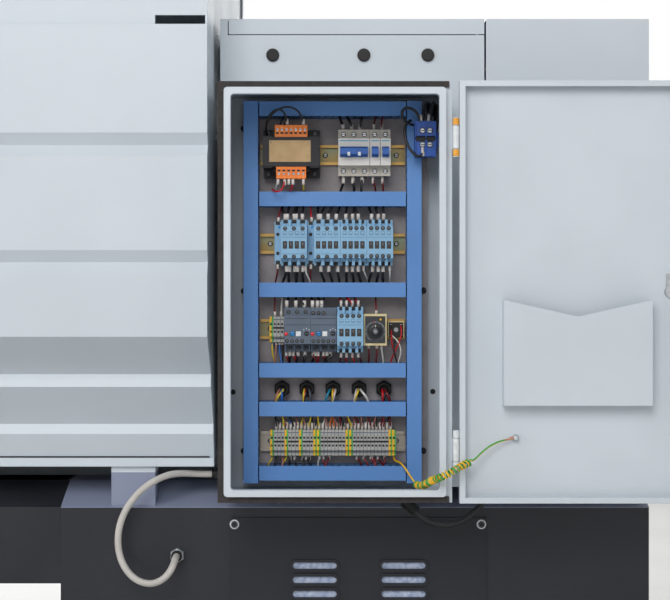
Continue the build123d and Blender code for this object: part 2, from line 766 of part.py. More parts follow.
def headstock():
    half = HEADSTOCK_WIDTH / 2
    cavity_y = inset((-half, half), HEADSTOCK_WALL)
    casting = block(HEADSTOCK_X, (-half, half), (BED_TOP_Z, HEADSTOCK_TOP_Z))
    cavity_z = (BED_TOP_Z + HEADSTOCK_FLOOR, HEADSTOCK_TOP_Z)
    casting -= block(inset(HEADSTOCK_X, HEADSTOCK_WALL), cavity_y, cavity_z)
    return casting - rod("X", SPINDLE_R + BEARING_CLEAR, HEADSTOCK_X, (0, SPINDLE_Z))


def lid_block(margin):
    """The space of the lid over the headstock cover, grown by a seam."""
    x = (HEAD_COVER_X[0], HEAD_COVER_X[1] - LID_END_STRIP + margin)
    return block(x, (COVER_FRONT_Y, COVER_REAR_Y), (COVER_TOP_Z - LID_DROP - margin, COVER_TOP_Z))


def headstock_cover():
    y = (COVER_FRONT_Y, COVER_REAR_Y)
    cover = block(HEAD_COVER_X, y, (DECK_Z, COVER_TOP_Z))
    inner_x = (HEAD_COVER_X[0], HEAD_COVER_X[1] - COVER_SHEET)
    cover -= block(inner_x, inset(y, COVER_SHEET), (DECK_Z, COVER_TOP_Z - COVER_SHEET))
    cover -= lid_block(LID_SEAM)
    nose_wall = (HEAD_COVER_X[1] - COVER_SHEET, HEAD_COVER_X[1])
    cover -= rod("X", NOSE_HOLE_R, nose_wall, (0, SPINDLE_Z))
    for offset in PLUG_OFFSETS:
        hole_y = (COVER_REAR_Y - COVER_SHEET, COVER_REAR_Y)
        cover -= rod("Y", PLUG_STEM_R + RUN_CLEAR, hole_y, (CABINET_X + offset, PLUG_Z))
    bed_half = BED_WIDTH / 2 + RUN_CLEAR
    bed_gate = (DECK_Z, BED_TOP_Z + V_WAY_HALF + RUN_CLEAR)
    return cover - block(nose_wall, (-bed_half, bed_half), bed_gate)


def headstock_lid():
    x = (HEAD_COVER_X[0], HEAD_COVER_X[1] - LID_END_STRIP)
    y = (COVER_FRONT_Y, COVER_REAR_Y)
    z = (COVER_TOP_Z - LID_DROP, COVER_TOP_Z)
    return block(x, y, z) - block(x, inset(y, COVER_SHEET), (z[0], z[1] - COVER_SHEET))


def cover_plugs():
    plugs = []
    for offset in PLUG_OFFSETS:
        place = (CABINET_X + offset, PLUG_Z)
        stem = rod("Y", PLUG_STEM_R, (COVER_REAR_Y - PLUG_STEM_LENGTH, COVER_REAR_Y), place)
        cap = rod("Y", PLUG_R, (COVER_REAR_Y, COVER_REAR_Y + PLUG_PROUD), place)
        crown = cap.edges().group_by(Axis.Y)[-1]
        plugs.append(stem + fillet(crown, PLUG_PROUD / 2))
    return together(plugs)


def end_cover():
    y = (COVER_FRONT_Y, COVER_REAR_Y)
    inner_x = (END_COVER_X[0] + COVER_SHEET, END_COVER_X[1])
    cover = block(END_COVER_X, y, (DECK_Z, COVER_TOP_Z))
    cover -= block(inner_x, inset(y, COVER_SHEET), (DECK_Z, COVER_TOP_Z - COVER_SHEET))
    wall_x = (END_COVER_X[0], END_COVER_X[0] + COVER_SHEET)
    return cover - rod("X", BAR_HOLE_R, wall_x, (0, SPINDLE_Z))


# Spindle drive


def pulley(radius, axis_z):
    """A flat belt pulley with a flange at each side."""
    drum = rod("X", radius, PULLEY_X, (0, axis_z))
    for x in (PULLEY_X[0], PULLEY_X[1] - PULLEY_FLANGE_THICK):
        drum += rod("X", radius + PULLEY_FLANGE, (x, x + PULLEY_FLANGE_THICK), (0, axis_z))
    return drum


def spindle_motor():
    x = MOTOR_X
    body = rod("X", MOTOR_R, x, (0, MOTOR_Z))
    foot_z = (PAD_THICK + FOOT_THICK, MOTOR_Z)
    body += block(MOTOR_FOOT_X, around(0, MOTOR_FOOT_WIDTH), foot_z)
    fin_reach = MOTOR_R + MOTOR_FIN_HEIGHT
    for number in range(MOTOR_FIN_COUNT):
        turn = Pos(0, 0, MOTOR_Z) * Rot(180 * number / (MOTOR_FIN_COUNT - 1), 0, 0)
        fin = block(MOTOR_FOOT_X, (0, fin_reach), around(0, MOTOR_FIN_THICK))
        body += turn * fin
    return body - rod("X", MOTOR_SHAFT_R + BEARING_CLEAR, (x[0], x[0] + MOTOR_SHAFT_SEAT), (0, MOTOR_Z))


def motor_pulley():
    shaft_x = (PULLEY_X[0], MOTOR_X[0] + MOTOR_SHAFT_SEAT - RUN_CLEAR)
    return pulley(MOTOR_PULLEY_R, MOTOR_Z) + rod("X", MOTOR_SHAFT_R, shaft_x, (0, MOTOR_Z))


def belt_loop(grow):
    """The outline round both pulleys, grown by an amount, drawn in Y and Z."""
    rings = [
        Pos(0, axis_z) * Circle(radius + grow)
        for radius, axis_z in ((SPINDLE_PULLEY_R, SPINDLE_Z), (MOTOR_PULLEY_R, MOTOR_Z))
    ]
    return make_hull([edge for ring in rings for edge in ring.edges()])


def drive_belt():
    x = inset(PULLEY_X, PULLEY_FLANGE_THICK + BELT_SIDE_GAP)
    return prism("X", belt_loop(RUN_CLEAR + BELT_THICK), x) - prism("X", belt_loop(RUN_CLEAR), x)


def spindle():
    axis = (0, SPINDLE_Z)
    shaft = rod("X", SPINDLE_R, (SPINDLE_TAIL_X, NOSE_X[0]), axis)
    shaft += rod("X", NOSE_R, NOSE_X, axis) + pulley(SPINDLE_PULLEY_R, SPINDLE_Z)
    return shaft - rod("X", SPINDLE_BORE_R, (SPINDLE_TAIL_X, NOSE_X[1]), axis)


def jaw_turn(number):
    return Pos(0, 0, SPINDLE_Z) * Rot(360 * number / JAW_COUNT, 0, 0)


def chuck_body():
    axis = (0, SPINDLE_Z)
    body = rod("X", CHUCK_R, CHUCK_X, axis) - rod("X", CHUCK_BORE_R, CHUCK_X, axis)
    slot_x = (CHUCK_X[1] - JAW_SLOT_DEPTH - RUN_CLEAR, CHUCK_X[1])
    slot = block(slot_x, around(0, JAW_WIDTH + 2 * RUN_CLEAR), (0, CHUCK_R + OVERRUN))
    for number in range(JAW_COUNT):
        body -= jaw_turn(number) * slot
    return body


def chuck_jaw(number):
    y = around(0, JAW_WIDTH)
    root_x = (CHUCK_X[1] - JAW_SLOT_DEPTH, CHUCK_X[1] + JAW_STEP_PROUD)
    tip_x = (CHUCK_X[1], CHUCK_X[1] + JAW_PROUD)
    jaw = block(root_x, y, (JAW_INNER_R, JAW_OUTER_R)) + block(tip_x, y, (JAW_INNER_R, JAW_STEP_R))
    return jaw_turn(number) * jaw


# Carriage and ball screw


def saddle():
    x = around(SADDLE_X, SADDLE_LENGTH)
    half = SADDLE_WIDTH / 2
    body = block(x, (-half, half), (SADDLE_BOTTOM_Z, SADDLE_TOP_Z))
    rail_z = (SADDLE_TOP_Z, SADDLE_TOP_Z + CROSS_RAIL_HEIGHT)
    body += block(around(SADDLE_X, CROSS_RAIL_WIDTH), (-half, half), rail_z)
    nut_z = (SCREW_Z - NUT_DROP, SADDLE_BOTTOM_Z)
    nut_x = around(SADDLE_X, NUT_WIDTH)
    body += block(nut_x, around(SCREW_Y, NUT_DEPTH), nut_z)
    body -= rod("X", SCREW_R + RUN_CLEAR, nut_x, (SCREW_Y, SCREW_Z))
    return body - prism("X", v_way_outline(RUN_CLEAR * math.sqrt(2)), x)


def cross_slide():
    x = around(SADDLE_X, CROSS_SLIDE_WIDTH)
    y = around(CROSS_SLIDE_Y, CROSS_SLIDE_LENGTH)
    slide = block(x, y, (SADDLE_TOP_Z + RUN_CLEAR, CROSS_SLIDE_TOP_Z))
    channel_x = around(SADDLE_X, CROSS_RAIL_WIDTH + 2 * RUN_CLEAR)
    slide -= block(channel_x, y, (SADDLE_TOP_Z, SADDLE_TOP_Z + CROSS_RAIL_HEIGHT + RUN_CLEAR))
    base_z = (CROSS_SLIDE_TOP_Z, CROSS_SLIDE_TOP_Z + TURRET_BASE_THICK)
    return slide + block(around(SADDLE_X, TURRET_SIDE), around(TURRET_Y, TURRET_SIDE), base_z)


def tool_turret():
    """A square head with a tool lying in a slot along each side, held by two clamp screws."""
    half = TURRET_SIDE / 2
    z = (TURRET_BOTTOM_Z, TURRET_BOTTOM_Z + TURRET_HEIGHT)
    shank_top = SPINDLE_Z
    slot_z = (shank_top - TOOL_SHANK, shank_top - TOOL_SHANK + TOOL_SLOT)
    head = block((-half, half), (-half, half), z)
    tools = []
    for number in range(4):
        turn = Rot(0, 0, 90 * number)
        head -= turn * block((-half, -half + TOOL_SLOT), (-half, half), slot_z)
        shank_x = (-half + TOOL_SLOT - TOOL_SHANK, -half + TOOL_SLOT)
        tools.append(turn * block(shank_x, (-half + TOOL_SHANK, half + TOOL_REACH), (slot_z[0], shank_top)))
    head += rod("Z", TURRET_CAP_R, (z[1], z[1] + TURRET_CAP_HEIGHT), (0, 0))
    for number in range(4):
        for along in (-CLAMP_SCREW_OFFSET, CLAMP_SCREW_OFFSET):
            place = (-half + TOOL_SLOT / 2, along)
            screw = rod("Z", CLAMP_SCREW_R, (z[1], z[1] + CLAMP_SCREW_HEIGHT), place)
            head += Rot(0, 0, 90 * number) * screw
    return Pos(SADDLE_X, TURRET_Y, 0) * together([head, *tools])


def feed_screw():
    return rod("X", SCREW_R, (SCREW_HEAD_X, SCREW_TAIL_X + BRACKET_LENGTH), (SCREW_Y, SCREW_Z))


def feed_motor():
    start = SCREW_TAIL_X + BRACKET_LENGTH
    body_x = (start, start + SERVO_LENGTH - SERVO_CAP_LENGTH)
    cap_x = (body_x[1], body_x[1] + SERVO_CAP_LENGTH)
    body = block(body_x, around(SCREW_Y, SERVO_SIDE), around(SCREW_Z, SERVO_SIDE))
    return body + block(cap_x, around(SCREW_Y, SERVO_CAP_SIDE), around(SCREW_Z, SERVO_CAP_SIDE))


# Tailstock


def tailstock():
    foot_half = TAILSTOCK_FOOT_WIDTH / 2
    foot_z = (SADDLE_BOTTOM_Z, SADDLE_BOTTOM_Z + TAILSTOCK_FOOT_THICK)
    body = block(TAILSTOCK_X, (-foot_half, foot_half), foot_z)
    column_z = (SADDLE_BOTTOM_Z, SPINDLE_Z + TAILSTOCK_CROWN)
    body += block(TAILSTOCK_X, around(0, TAILSTOCK_BODY_WIDTH), column_z)
    body -= prism("X", v_way_outline(RUN_CLEAR * math.sqrt(2)), TAILSTOCK_X)
    bore_x = (TAILSTOCK_X[0], TAILSTOCK_X[1] - TAILSTOCK_REAR_WALL)
    body -= rod("X", QUILL_R + BEARING_CLEAR, bore_x, (0, SPINDLE_Z))
    return body - rod("X", TAIL_SHAFT_R + BEARING_CLEAR, TAILSTOCK_X, (0, SPINDLE_Z))


def tailstock_quill():
    x = (TAILSTOCK_X[0] - QUILL_PROUD, TAILSTOCK_X[1] - TAILSTOCK_REAR_WALL - QUILL_TAIL_GAP)
    point = Pos(x[0] - CENTRE_LENGTH / 2, 0, SPINDLE_Z) * Rot(0, -90, 0)
    return rod("X", QUILL_R, x, (0, SPINDLE_Z)) + point * Cone(CENTRE_R, 0, CENTRE_LENGTH)


def tailstock_handwheel():
    start = TAILSTOCK_X[1] + RUN_CLEAR
    hub_x = (start, start + TAIL_WHEEL_HUB_LENGTH)
    middle = Pos(sum(hub_x) / 2, 0, SPINDLE_Z)
    shaft_x = (TAILSTOCK_X[1] - TAILSTOCK_REAR_WALL, start)
    wheel = rod("X", TAIL_WHEEL_HUB_R, hub_x, (0, SPINDLE_Z)) + rod("X", TAIL_SHAFT_R, shaft_x, (0, SPINDLE_Z))
    for number in range(TAIL_WHEEL_SPOKES):
        spoke = rod("Z", TAIL_WHEEL_SPOKE_R, (0, TAIL_WHEEL_R), (0, 0))
        wheel += middle * Rot(360 * number / TAIL_WHEEL_SPOKES, 0, 0) * spoke
    return wheel + middle * Rot(0, 90, 0) * Torus(TAIL_WHEEL_R, TAIL_WHEEL_RIM_R)


# Guard


def guard_profile():
    """The rear guard's outer line from its top edge down, in Y and Z: V grooves, then a tucked-in foot."""
    line = [(GUARD_REAR_Y, GUARD_TOP_Z)]
    for centre in GROOVE_ROW_Z:
        line.append((GUARD_REAR_Y, centre + GROOVE_HALF))
        line.append((GUARD_REAR_Y - GROOVE_DEPTH, centre))
        line.append((GUARD_REAR_Y, centre - GROOVE_HALF))
    line.append((GUARD_REAR_Y, GUARD_BEND_Z))
    for inward, down in TUCK_SHARES:
        line.append((GUARD_REAR_Y - inward * GUARD_TUCK_IN, GUARD_BEND_Z - down * GUARD_TUCK_DROP))
    return line


def shoulder_height(y):
    """The height of the base's sloped rear shoulder at a depth."""
    return SHOULDER_Z + (DECK_Z - SHOULDER_Z) * (REAR_Y - y) / SHOULDER_RUN


def rear_guard():
    outer = guard_profile()
    inner = [(y - GUARD_SHEET, z) for y, z in reversed(outer)]
    foot_y = outer[-1][0]
    rail_z = (GUARD_BOTTOM_Z - GUARD_RAIL_HEIGHT, GUARD_BOTTOM_Z)
    rail_y = (foot_y - GUARD_FOOT_DEPTH, foot_y + GUARD_RAIL_PROUD)
    closing = [(GUARD_RETURN_Y, GUARD_BOTTOM_Z), (GUARD_RETURN_Y, GUARD_TOP_Z)]
    sheet = prism("X", outer + inner, GUARD_X)
    sheet += prism("X", outer + closing, (GUARD_X[0], GUARD_X[0] + GUARD_SHEET))
    sheet += block(GUARD_X, rail_y, rail_z)
    flange_y = (GUARD_REAR_Y - GUARD_TOP_FLANGE, GUARD_REAR_Y)
    sheet += block(GUARD_X, flange_y, (GUARD_TOP_Z - GUARD_SHEET, GUARD_TOP_Z))
    for share in GUARD_FOOT_SHARES:
        start = GUARD_X[0] + share * (GUARD_X[1] - GUARD_X[0])
        foot_x = (start, start + GUARD_FOOT_WIDTH)
        foot_span = (foot_y - GUARD_FOOT_DEPTH, foot_y)
        line = [(y, shoulder_height(y)) for y in foot_span]
        sheet += prism("X", line + [(foot_y, rail_z[0]), (foot_span[0], rail_z[0])], foot_x)
    return sheet


def guard_hood():
    rear_y = GUARD_REAR_Y - HOOD_SET_BACK
    y = (FRONT_FRAME_Y, rear_y)
    wall_x = (GUARD_X[0], GUARD_X[0] + GUARD_SHEET)
    end_z = (GUARD_TOP_Z, HOOD_TOP_Z)
    post_z = (SILL_Z + GUARD_SHEET, GUARD_TOP_Z)
    slot_x = (GUARD_X[0] + HOOD_SLOT_INSET, GUARD_X[0] + HOOD_SLOT_INSET + HOOD_SLOT_LENGTH)
    hood = block(GUARD_X, (rear_y - GUARD_SHEET, rear_y), end_z)
    hood -= block(slot_x, (rear_y - GUARD_SHEET, rear_y), (GUARD_TOP_Z, GUARD_TOP_Z + HOOD_SLOT_HEIGHT))
    hood += block(GUARD_X, y, (HOOD_TOP_Z - GUARD_SHEET, HOOD_TOP_Z))
    hood += block(GUARD_X, (y[0], y[0] + GUARD_SHEET), (HOOD_TOP_Z - HOOD_FRONT_DROP, HOOD_TOP_Z))
    return hood + block(wall_x, y, end_z) + block(wall_x, (y[0], COVER_FRONT_Y), post_z)


def tail_end_guard():
    wall_x = (GUARD_X[1], GUARD_X[1] + GUARD_SHEET)
    front_y = FRONT_FRAME_Y
    rear_y = GUARD_REAR_Y - HOOD_SET_BACK
    sill_top = SILL_Z + GUARD_SHEET
    outline = guard_profile() + [(front_y, sill_top), (front_y, HOOD_TOP_Z), (rear_y, HOOD_TOP_Z)]
    outline.append((rear_y, GUARD_TOP_Z))
    panel_x = (FIXED_PANEL_X, GUARD_X[1])
    panel_z = (sill_top, HOOD_TOP_Z - HOOD_FRONT_DROP)
    return prism("X", outline, wall_x) + block(panel_x, (front_y, front_y + GUARD_SHEET), panel_z)


def front_apron():
    """A sheet that rises from the base's front to the sill that carries the sliding door."""
    front_y = -REAR_Y
    lip_y = DOOR_OUTER_Y - GUARD_SHEET
    sheet = GUARD_SHEET
    inner_y = FRONT_FRAME_Y + SILL_REACH
    outline = [
        (front_y, APRON_FOOT_Z),
        (front_y, APRON_BEND_Z),
        (lip_y + sheet, SILL_Z - sheet),
        (lip_y + sheet, SILL_Z),
        (inner_y, SILL_Z),
        (inner_y, SILL_Z + sheet),
        (lip_y, SILL_Z + sheet),
        (lip_y, SILL_Z - sheet),
        (front_y - sheet, APRON_BEND_Z),
        (front_y - sheet, APRON_FOOT_Z),
    ]
    rail_y = (DOOR_OUTER_Y + SILL_RAIL_INSET - SILL_RAIL_WIDTH / 2, DOOR_OUTER_Y + SILL_RAIL_INSET + SILL_RAIL_WIDTH / 2)
    rail_z = (SILL_Z + sheet, SILL_Z + sheet + SILL_RAIL_HEIGHT)
    return prism("X", outline, GUARD_X) + block(GUARD_X, rail_y, rail_z)


def sliding_door():
    y = (DOOR_OUTER_Y, DOOR_OUTER_Y + DOOR_THICK)
    z = (DOOR_BOTTOM_Z, DOOR_TOP_Z)
    skin_y = (y[0], y[0] + GUARD_SHEET)
    door = block(DOOR_X, y, z)
    door -= block(inset(DOOR_X, GUARD_SHEET), (skin_y[1], y[1]), inset(z, GUARD_SHEET))
    door -= block(WINDOW_X, skin_y, WINDOW_Z)
    handle_x = DOOR_X[1] - HANDLE_INSET
    grip_y = y[0] - HANDLE_REACH
    door += rod("Z", HANDLE_R, inset(HANDLE_Z, -2 * HANDLE_R), (handle_x, grip_y))
    for height in HANDLE_Z:
        door += rod("Y", HANDLE_R, (grip_y, y[0]), (handle_x, height))
    return door


def door_window():
    skin_y = DOOR_OUTER_Y + GUARD_SHEET
    return block(inset(WINDOW_X, -WINDOW_LAP), (skin_y, skin_y + WINDOW_THICK), inset(WINDOW_Z, -WINDOW_LAP))


# Operator's controls


def control_box():
    y = (CONTROL_FRONT_Y, COVER_FRONT_Y)
    box = block(CONTROL_X, y, CONTROL_Z)
    box -= block(inset(CONTROL_X, COVER_SHEET), inset(y, COVER_SHEET), inset(CONTROL_Z, COVER_SHEET))
    fascia_y = (FASCIA_FRONT_Y, CONTROL_FRONT_Y)
    box += block(inset(CONTROL_X, CONTROL_FASCIA_INSET), fascia_y, inset(CONTROL_Z, CONTROL_FASCIA_INSET))
    box -= block(SCREEN_X, (FASCIA_FRONT_Y, FASCIA_FRONT_Y + SCREEN_RECESS), SCREEN_Z)
    front_y = (FASCIA_FRONT_Y, CONTROL_FRONT_Y + COVER_SHEET)
    box -= rod("Y", STOP_STEM_R + RUN_CLEAR, front_y, STOP_PLACE)
    for place in (KNOB_PLACE, PULSE_WHEEL_PLACE):
        box -= rod("Y", CONTROL_STEM_R + RUN_CLEAR, front_y, place)
    return box


def control_knob(radius, length, place, gap):
    """A round control on a stem that passes through the fascia."""
    cap_y = (FASCIA_FRONT_Y - gap - length, FASCIA_FRONT_Y - gap)
    cap = rod("Y", radius, cap_y, place)
    return cap, (cap_y[1], cap_y[1] + CONTROL_STEM_LENGTH)


def emergency_stop():
    cap, stem_y = control_knob(STOP_R, STOP_CAP_LENGTH, STOP_PLACE, STOP_TRAVEL + RUN_CLEAR)
    cap = fillet(cap.edges().group_by(Axis.Y)[0], STOP_CAP_LENGTH / 3)
    return cap + rod("Y", STOP_STEM_R, stem_y, STOP_PLACE)


def feed_knob():
    cap, stem_y = control_knob(KNOB_R, KNOB_LENGTH, KNOB_PLACE, RUN_CLEAR)
    return cap + rod("Y", CONTROL_STEM_R, stem_y, KNOB_PLACE)


def pulse_handwheel():
    cap, stem_y = control_knob(PULSE_WHEEL_R, PULSE_WHEEL_LENGTH, PULSE_WHEEL_PLACE, RUN_CLEAR)
    front = FASCIA_FRONT_Y - RUN_CLEAR - PULSE_WHEEL_LENGTH
    grip_x = PULSE_WHEEL_PLACE[0] + PULSE_WHEEL_R - 2 * PULSE_GRIP_R
    grip = rod("Y", PULSE_GRIP_R, (front - PULSE_GRIP_LENGTH, front), (grip_x, PULSE_WHEEL_PLACE[1]))
    return cap + grip + rod("Y", CONTROL_STEM_R, stem_y, PULSE_WHEEL_PLACE)


# Electrical cabinet


def cabinet_ring(offset):
    """A rounded rectangle inside the cabinet's outline by an offset, drawn in X and Z."""
    width = CABINET_WIDTH - 2 * offset
    height = CABINET_Z[1] - CABINET_Z[0] - 2 * offset
    return Pos(CABINET_X, sum(CABINET_Z) / 2) * RectangleRounded(width, height, LIP_CORNER_R)


def hinge_middle_z(centre):
    return around(centre, HINGE_MIDDLE)


def hinge_end_spans(centre):
    """The heights of the two door-side knuckles, above and below the middle one."""
    middle = hinge_middle_z(centre)
    return (
        (middle[1] + RUN_CLEAR, middle[1] + RUN_CLEAR + HINGE_END),
        (middle[0] - RUN_CLEAR - HINGE_END, middle[0] - RUN_CLEAR),
    )


def cabinet_hinge(centre):
    """The cabinet's half of a hinge: a leaf on the side wall, a knuckle and the pin."""
    wall_x = CABINET_X - CABINET_WIDTH / 2
    z = hinge_middle_z(centre)
    leaf_y = (CABINET_FLANGE_Y - HINGE_LEAF_DEPTH, HINGE_Y)
    leaf = block((wall_x - HINGE_LEAF_THICK, wall_x), leaf_y, z)
    leaf -= block((wall_x - RUN_CLEAR, wall_x), (CABINET_FLANGE_Y, HINGE_Y), z)
    ends = hinge_end_spans(centre)
    pin = rod("Z", HINGE_PIN_R, (ends[1][0], ends[0][1]), (HINGE_X, HINGE_Y))
    return leaf + rod("Z", HINGE_R, z, (HINGE_X, HINGE_Y)) + pin


def cabinet_body():
    x = around(CABINET_X, CABINET_WIDTH)
    y = (CABINET_BACK_Y, CABINET_FLANGE_Y)
    flange_y = (CABINET_FLANGE_Y - CABINET_WALL, CABINET_FLANGE_Y)
    lip_y = (CABINET_FLANGE_Y, LIP_FRONT_Y)
    box = block(x, y, CABINET_Z)
    box -= block(inset(x, CABINET_WALL), inset(y, CABINET_WALL), inset(CABINET_Z, CABINET_WALL))
    box += prism("Y", cabinet_ring(LIP_INSET), lip_y)
    box -= prism("Y", cabinet_ring(LIP_INSET + LIP_WIDTH), (flange_y[0], lip_y[1]))
    for centre in HINGE_ROW_Z:
        box += cabinet_hinge(centre)
    return box


def cabinet_gasket():
    """Sponge strips on the flange outside the lip, on every side but the hinge side."""
    x = around(CABINET_X, CABINET_WIDTH)
    y = (CABINET_FLANGE_Y, CABINET_FLANGE_Y + GASKET_THICK)
    long_x = (x[0] + GASKET_HINGE_GAP, x[1])
    top = block(long_x, y, (CABINET_Z[1] - GASKET_WIDTH, CABINET_Z[1]))
    bottom = block(long_x, y, (CABINET_Z[0], CABINET_Z[0] + GASKET_WIDTH))
    return top + bottom + block((x[1] - GASKET_WIDTH, x[1]), y, CABINET_Z)


def mounting_plate():
    x = around(CABINET_X, PLATE_WIDTH)
    plate_y = (PLATE_FRONT_Y - PLATE_THICK, PLATE_FRONT_Y)
    plate = block(x, plate_y, PLATE_Z)
    for post_x in inset(x, STANDOFF_INSET):
        for post_z in inset(PLATE_Z, STANDOFF_INSET):
            plate += rod("Y", STANDOFF_R, (CABINET_BACK_Y + CABINET_WALL, plate_y[0]), (post_x, post_z))
    return plate


def duct(length):
    """A slotted duct along local X from zero, its width along Y and its depth along Z, with a snap-on lid."""
    half = DUCT_WIDTH / 2
    floor = block((0, length), (-half, half), (0, DUCT_WALL))
    slots = int((length - DUCT_SLOT_PITCH / 2) / DUCT_SLOT_PITCH)
    margin = (length - (slots - 1) * DUCT_SLOT_PITCH) / 2
    outline = [(0, 0), (0, DUCT_DEPTH)]
    for number in range(slots):
        slot_x = around(margin + number * DUCT_SLOT_PITCH, DUCT_SLOT_WIDTH)
        foot = DUCT_DEPTH - DUCT_SLOT_DEPTH
        outline += [(slot_x[0], DUCT_DEPTH), (slot_x[0], foot), (slot_x[1], foot), (slot_x[1], DUCT_DEPTH)]
    outline += [(length, DUCT_DEPTH), (length, 0)]
    body = floor
    for wall_y in ((-half, -half + DUCT_WALL), (half - DUCT_WALL, half)):
        body += prism("Y", outline, wall_y)
    lid = block((0, length), (-half, half), (DUCT_DEPTH, DUCT_DEPTH + DUCT_LID_THICK))
    return [body, lid]


def duct_row_x():
    """The two ends of the horizontal ducts, between the upright ones."""
    left = DUCT_COLUMN_OFFSETS[0] - DUCT_WIDTH / 2 - DUCT_END_GAP
    right = DUCT_COLUMN_OFFSETS[1] + DUCT_WIDTH / 2 + DUCT_END_GAP
    return (CABINET_X + right, CABINET_X + left)


def wiring_ducts():
    pieces = []
    column = duct(PLATE_Z[1] - PLATE_Z[0])
    for offset in DUCT_COLUMN_OFFSETS:
        stand = Plane(origin=(CABINET_X + offset, PLATE_FRONT_Y, PLATE_Z[0]), x_dir=(0, 0, 1), z_dir=(0, 1, 0))
        pieces += [stand.location * piece for piece in column]
    row_x = duct_row_x()
    row = duct(row_x[1] - row_x[0])
    for share in DUCT_ROW_SHARES:
        lie = Plane(origin=(row_x[0], PLATE_FRONT_Y, plate_row(share)), x_dir=(1, 0, 0), z_dir=(0, 1, 0))
        pieces += [lie.location * piece for piece in row]
    return together(pieces)


def din_rails():
    """Hat-section rails: two flanges on the front and a web on the plate."""
    half = RAIL_WIDTH / 2
    crown = RAIL_CROWN / 2
    front = RAIL_FRONT_Y
    back = PLATE_FRONT_Y
    rails = []
    for share in RAIL_ROW_SHARES.values():
        middle = plate_row(share)
        hat = block(duct_row_x(), (back, back + RAIL_SHEET), around(middle, RAIL_CROWN))
        for side in (-1, 1):
            web = sorted((middle + side * crown, middle + side * (crown - RAIL_SHEET)))
            flange = sorted((middle + side * (crown - RAIL_SHEET), middle + side * half))
            hat += block(duct_row_x(), (back, front), web)
            hat += block(duct_row_x(), (front - RAIL_SHEET, front), flange)
        rails.append(hat)
    return together(rails)


def rail_device(start, width, outline, row):
    """A device on a rail: an outline in depth from the rail and height from its row, carried along X."""
    middle = plate_row(RAIL_ROW_SHARES[row])
    points = [(RAIL_FRONT_Y + depth, middle + height) for depth, height in outline]
    end = CABINET_X + start - DEVICE_GAP / 2
    return prism("X", points, (end - width + DEVICE_GAP, end))


def stepped_outline(height, base_depth, nose_height, depth):
    """A base as high as the device with a lower nose in the middle of its front."""
    half = height / 2
    nose = nose_height / 2
    return [
        (0, -half),
        (base_depth, -half),
        (base_depth, -nose),
        (depth, -nose),
        (depth, nose),
        (base_depth, nose),
        (base_depth, half),
        (0, half),
    ]


def control_transformer():
    middle = plate_row(RAIL_ROW_SHARES["breakers"])
    x = around(CABINET_X + TRANSFORMER_OFFSET, TRANSFORMER_WIDTH)
    coil_x = around(CABINET_X + TRANSFORMER_OFFSET, TRANSFORMER_COIL_WIDTH)
    back = RAIL_FRONT_Y
    core = block(x, (back, back + TRANSFORMER_DEPTH), around(middle, TRANSFORMER_HEIGHT))
    core += block(x, (back, back + TRANSFORMER_FOOT_DEPTH), around(middle, TRANSFORMER_FOOT_HEIGHT))
    core += block(coil_x, (back, back + TRANSFORMER_COIL_DEPTH), around(middle, TRANSFORMER_COIL_HEIGHT))
    blocks = []
    for side, width in zip((1, -1), TRANSFORMER_TERMINAL_WIDTHS):
        edge = middle + side * TRANSFORMER_HEIGHT / 2
        z = sorted((edge, edge + side * TRANSFORMER_TERMINAL_HEIGHT))
        y = (back + TRANSFORMER_COIL_DEPTH, back + TRANSFORMER_COIL_DEPTH + TRANSFORMER_TERMINAL_DEPTH)
        blocks.append(block(around(CABINET_X + TRANSFORMER_OFFSET, width), y, z))
    return together([core, *blocks])


def breaker_starts():
    """Where each breaker starts, as an offset from the cabinet's centre, and its width."""
    starts = []
    start = BREAKER_START
    for poles in BREAKER_POLE_COUNTS:
        starts.append((start, poles * POLE_WIDTH))
        start -= poles * POLE_WIDTH
    return starts


def toggle_axis():
    """The depth and height of the breakers' toggle pivots."""
    return (RAIL_FRONT_Y + BREAKER_NOSE_DEPTH, plate_row(RAIL_ROW_SHARES["breakers"]))


def breakers():
    outline = stepped_outline(BREAKER_HEIGHT, BREAKER_BASE_DEPTH, BREAKER_NOSE_HEIGHT, BREAKER_NOSE_DEPTH)
    well_r = TOGGLE_R + RUN_CLEAR
    bodies = []
    for start, width in breaker_starts():
        end = CABINET_X + start
        well_x = inset((end - width, end), TOGGLE_SIDE - RUN_CLEAR)
        body = rail_device(start, width, outline, "breakers")
        bodies.append(body - rod("X", well_r, well_x, toggle_axis()))
    return together(bodies)


def breaker_toggle(number):
    """A round rocker in its well with a lever that stands out of the nose."""
    start, width = breaker_starts()[number]
    axis = toggle_axis()
    x = inset((CABINET_X + start - width, CABINET_X + start), TOGGLE_SIDE)
    lever_y = (axis[0], axis[0] + TOGGLE_R + TOGGLE_LENGTH)
    return rod("X", TOGGLE_R, x, axis) + block(x, lever_y, around(axis[1], TOGGLE_HEIGHT))


def contactor_outline():
    return stepped_outline(CONTACTOR_HEIGHT, CONTACTOR_BASE_DEPTH, CONTACTOR_NOSE_HEIGHT, CONTACTOR_DEPTH)


def contactors():
    block_outline = [
        (0, -SUPPRESSOR_HEIGHT / 2),
        (SUPPRESSOR_DEPTH, -SUPPRESSOR_HEIGHT / 2),
        (SUPPRESSOR_DEPTH, SUPPRESSOR_HEIGHT / 2),
        (0, SUPPRESSOR_HEIGHT / 2),
    ]
    kinds = {
        "contactor": (CONTACTOR_WIDTH, contactor_outline()),
        "suppressor": (SUPPRESSOR_WIDTH, block_outline),
    }
    pieces = []
    start = CONTACTOR_START
    for kind in CONTACTOR_ORDER:
        width, outline = kinds[kind]
        pieces.append(rail_device(start, width, outline, "contactors"))
        start -= width
    pieces.append(rail_device(LAST_CONTACTOR_START, CONTACTOR_WIDTH, contactor_outline(), "relays"))
    return together(pieces)


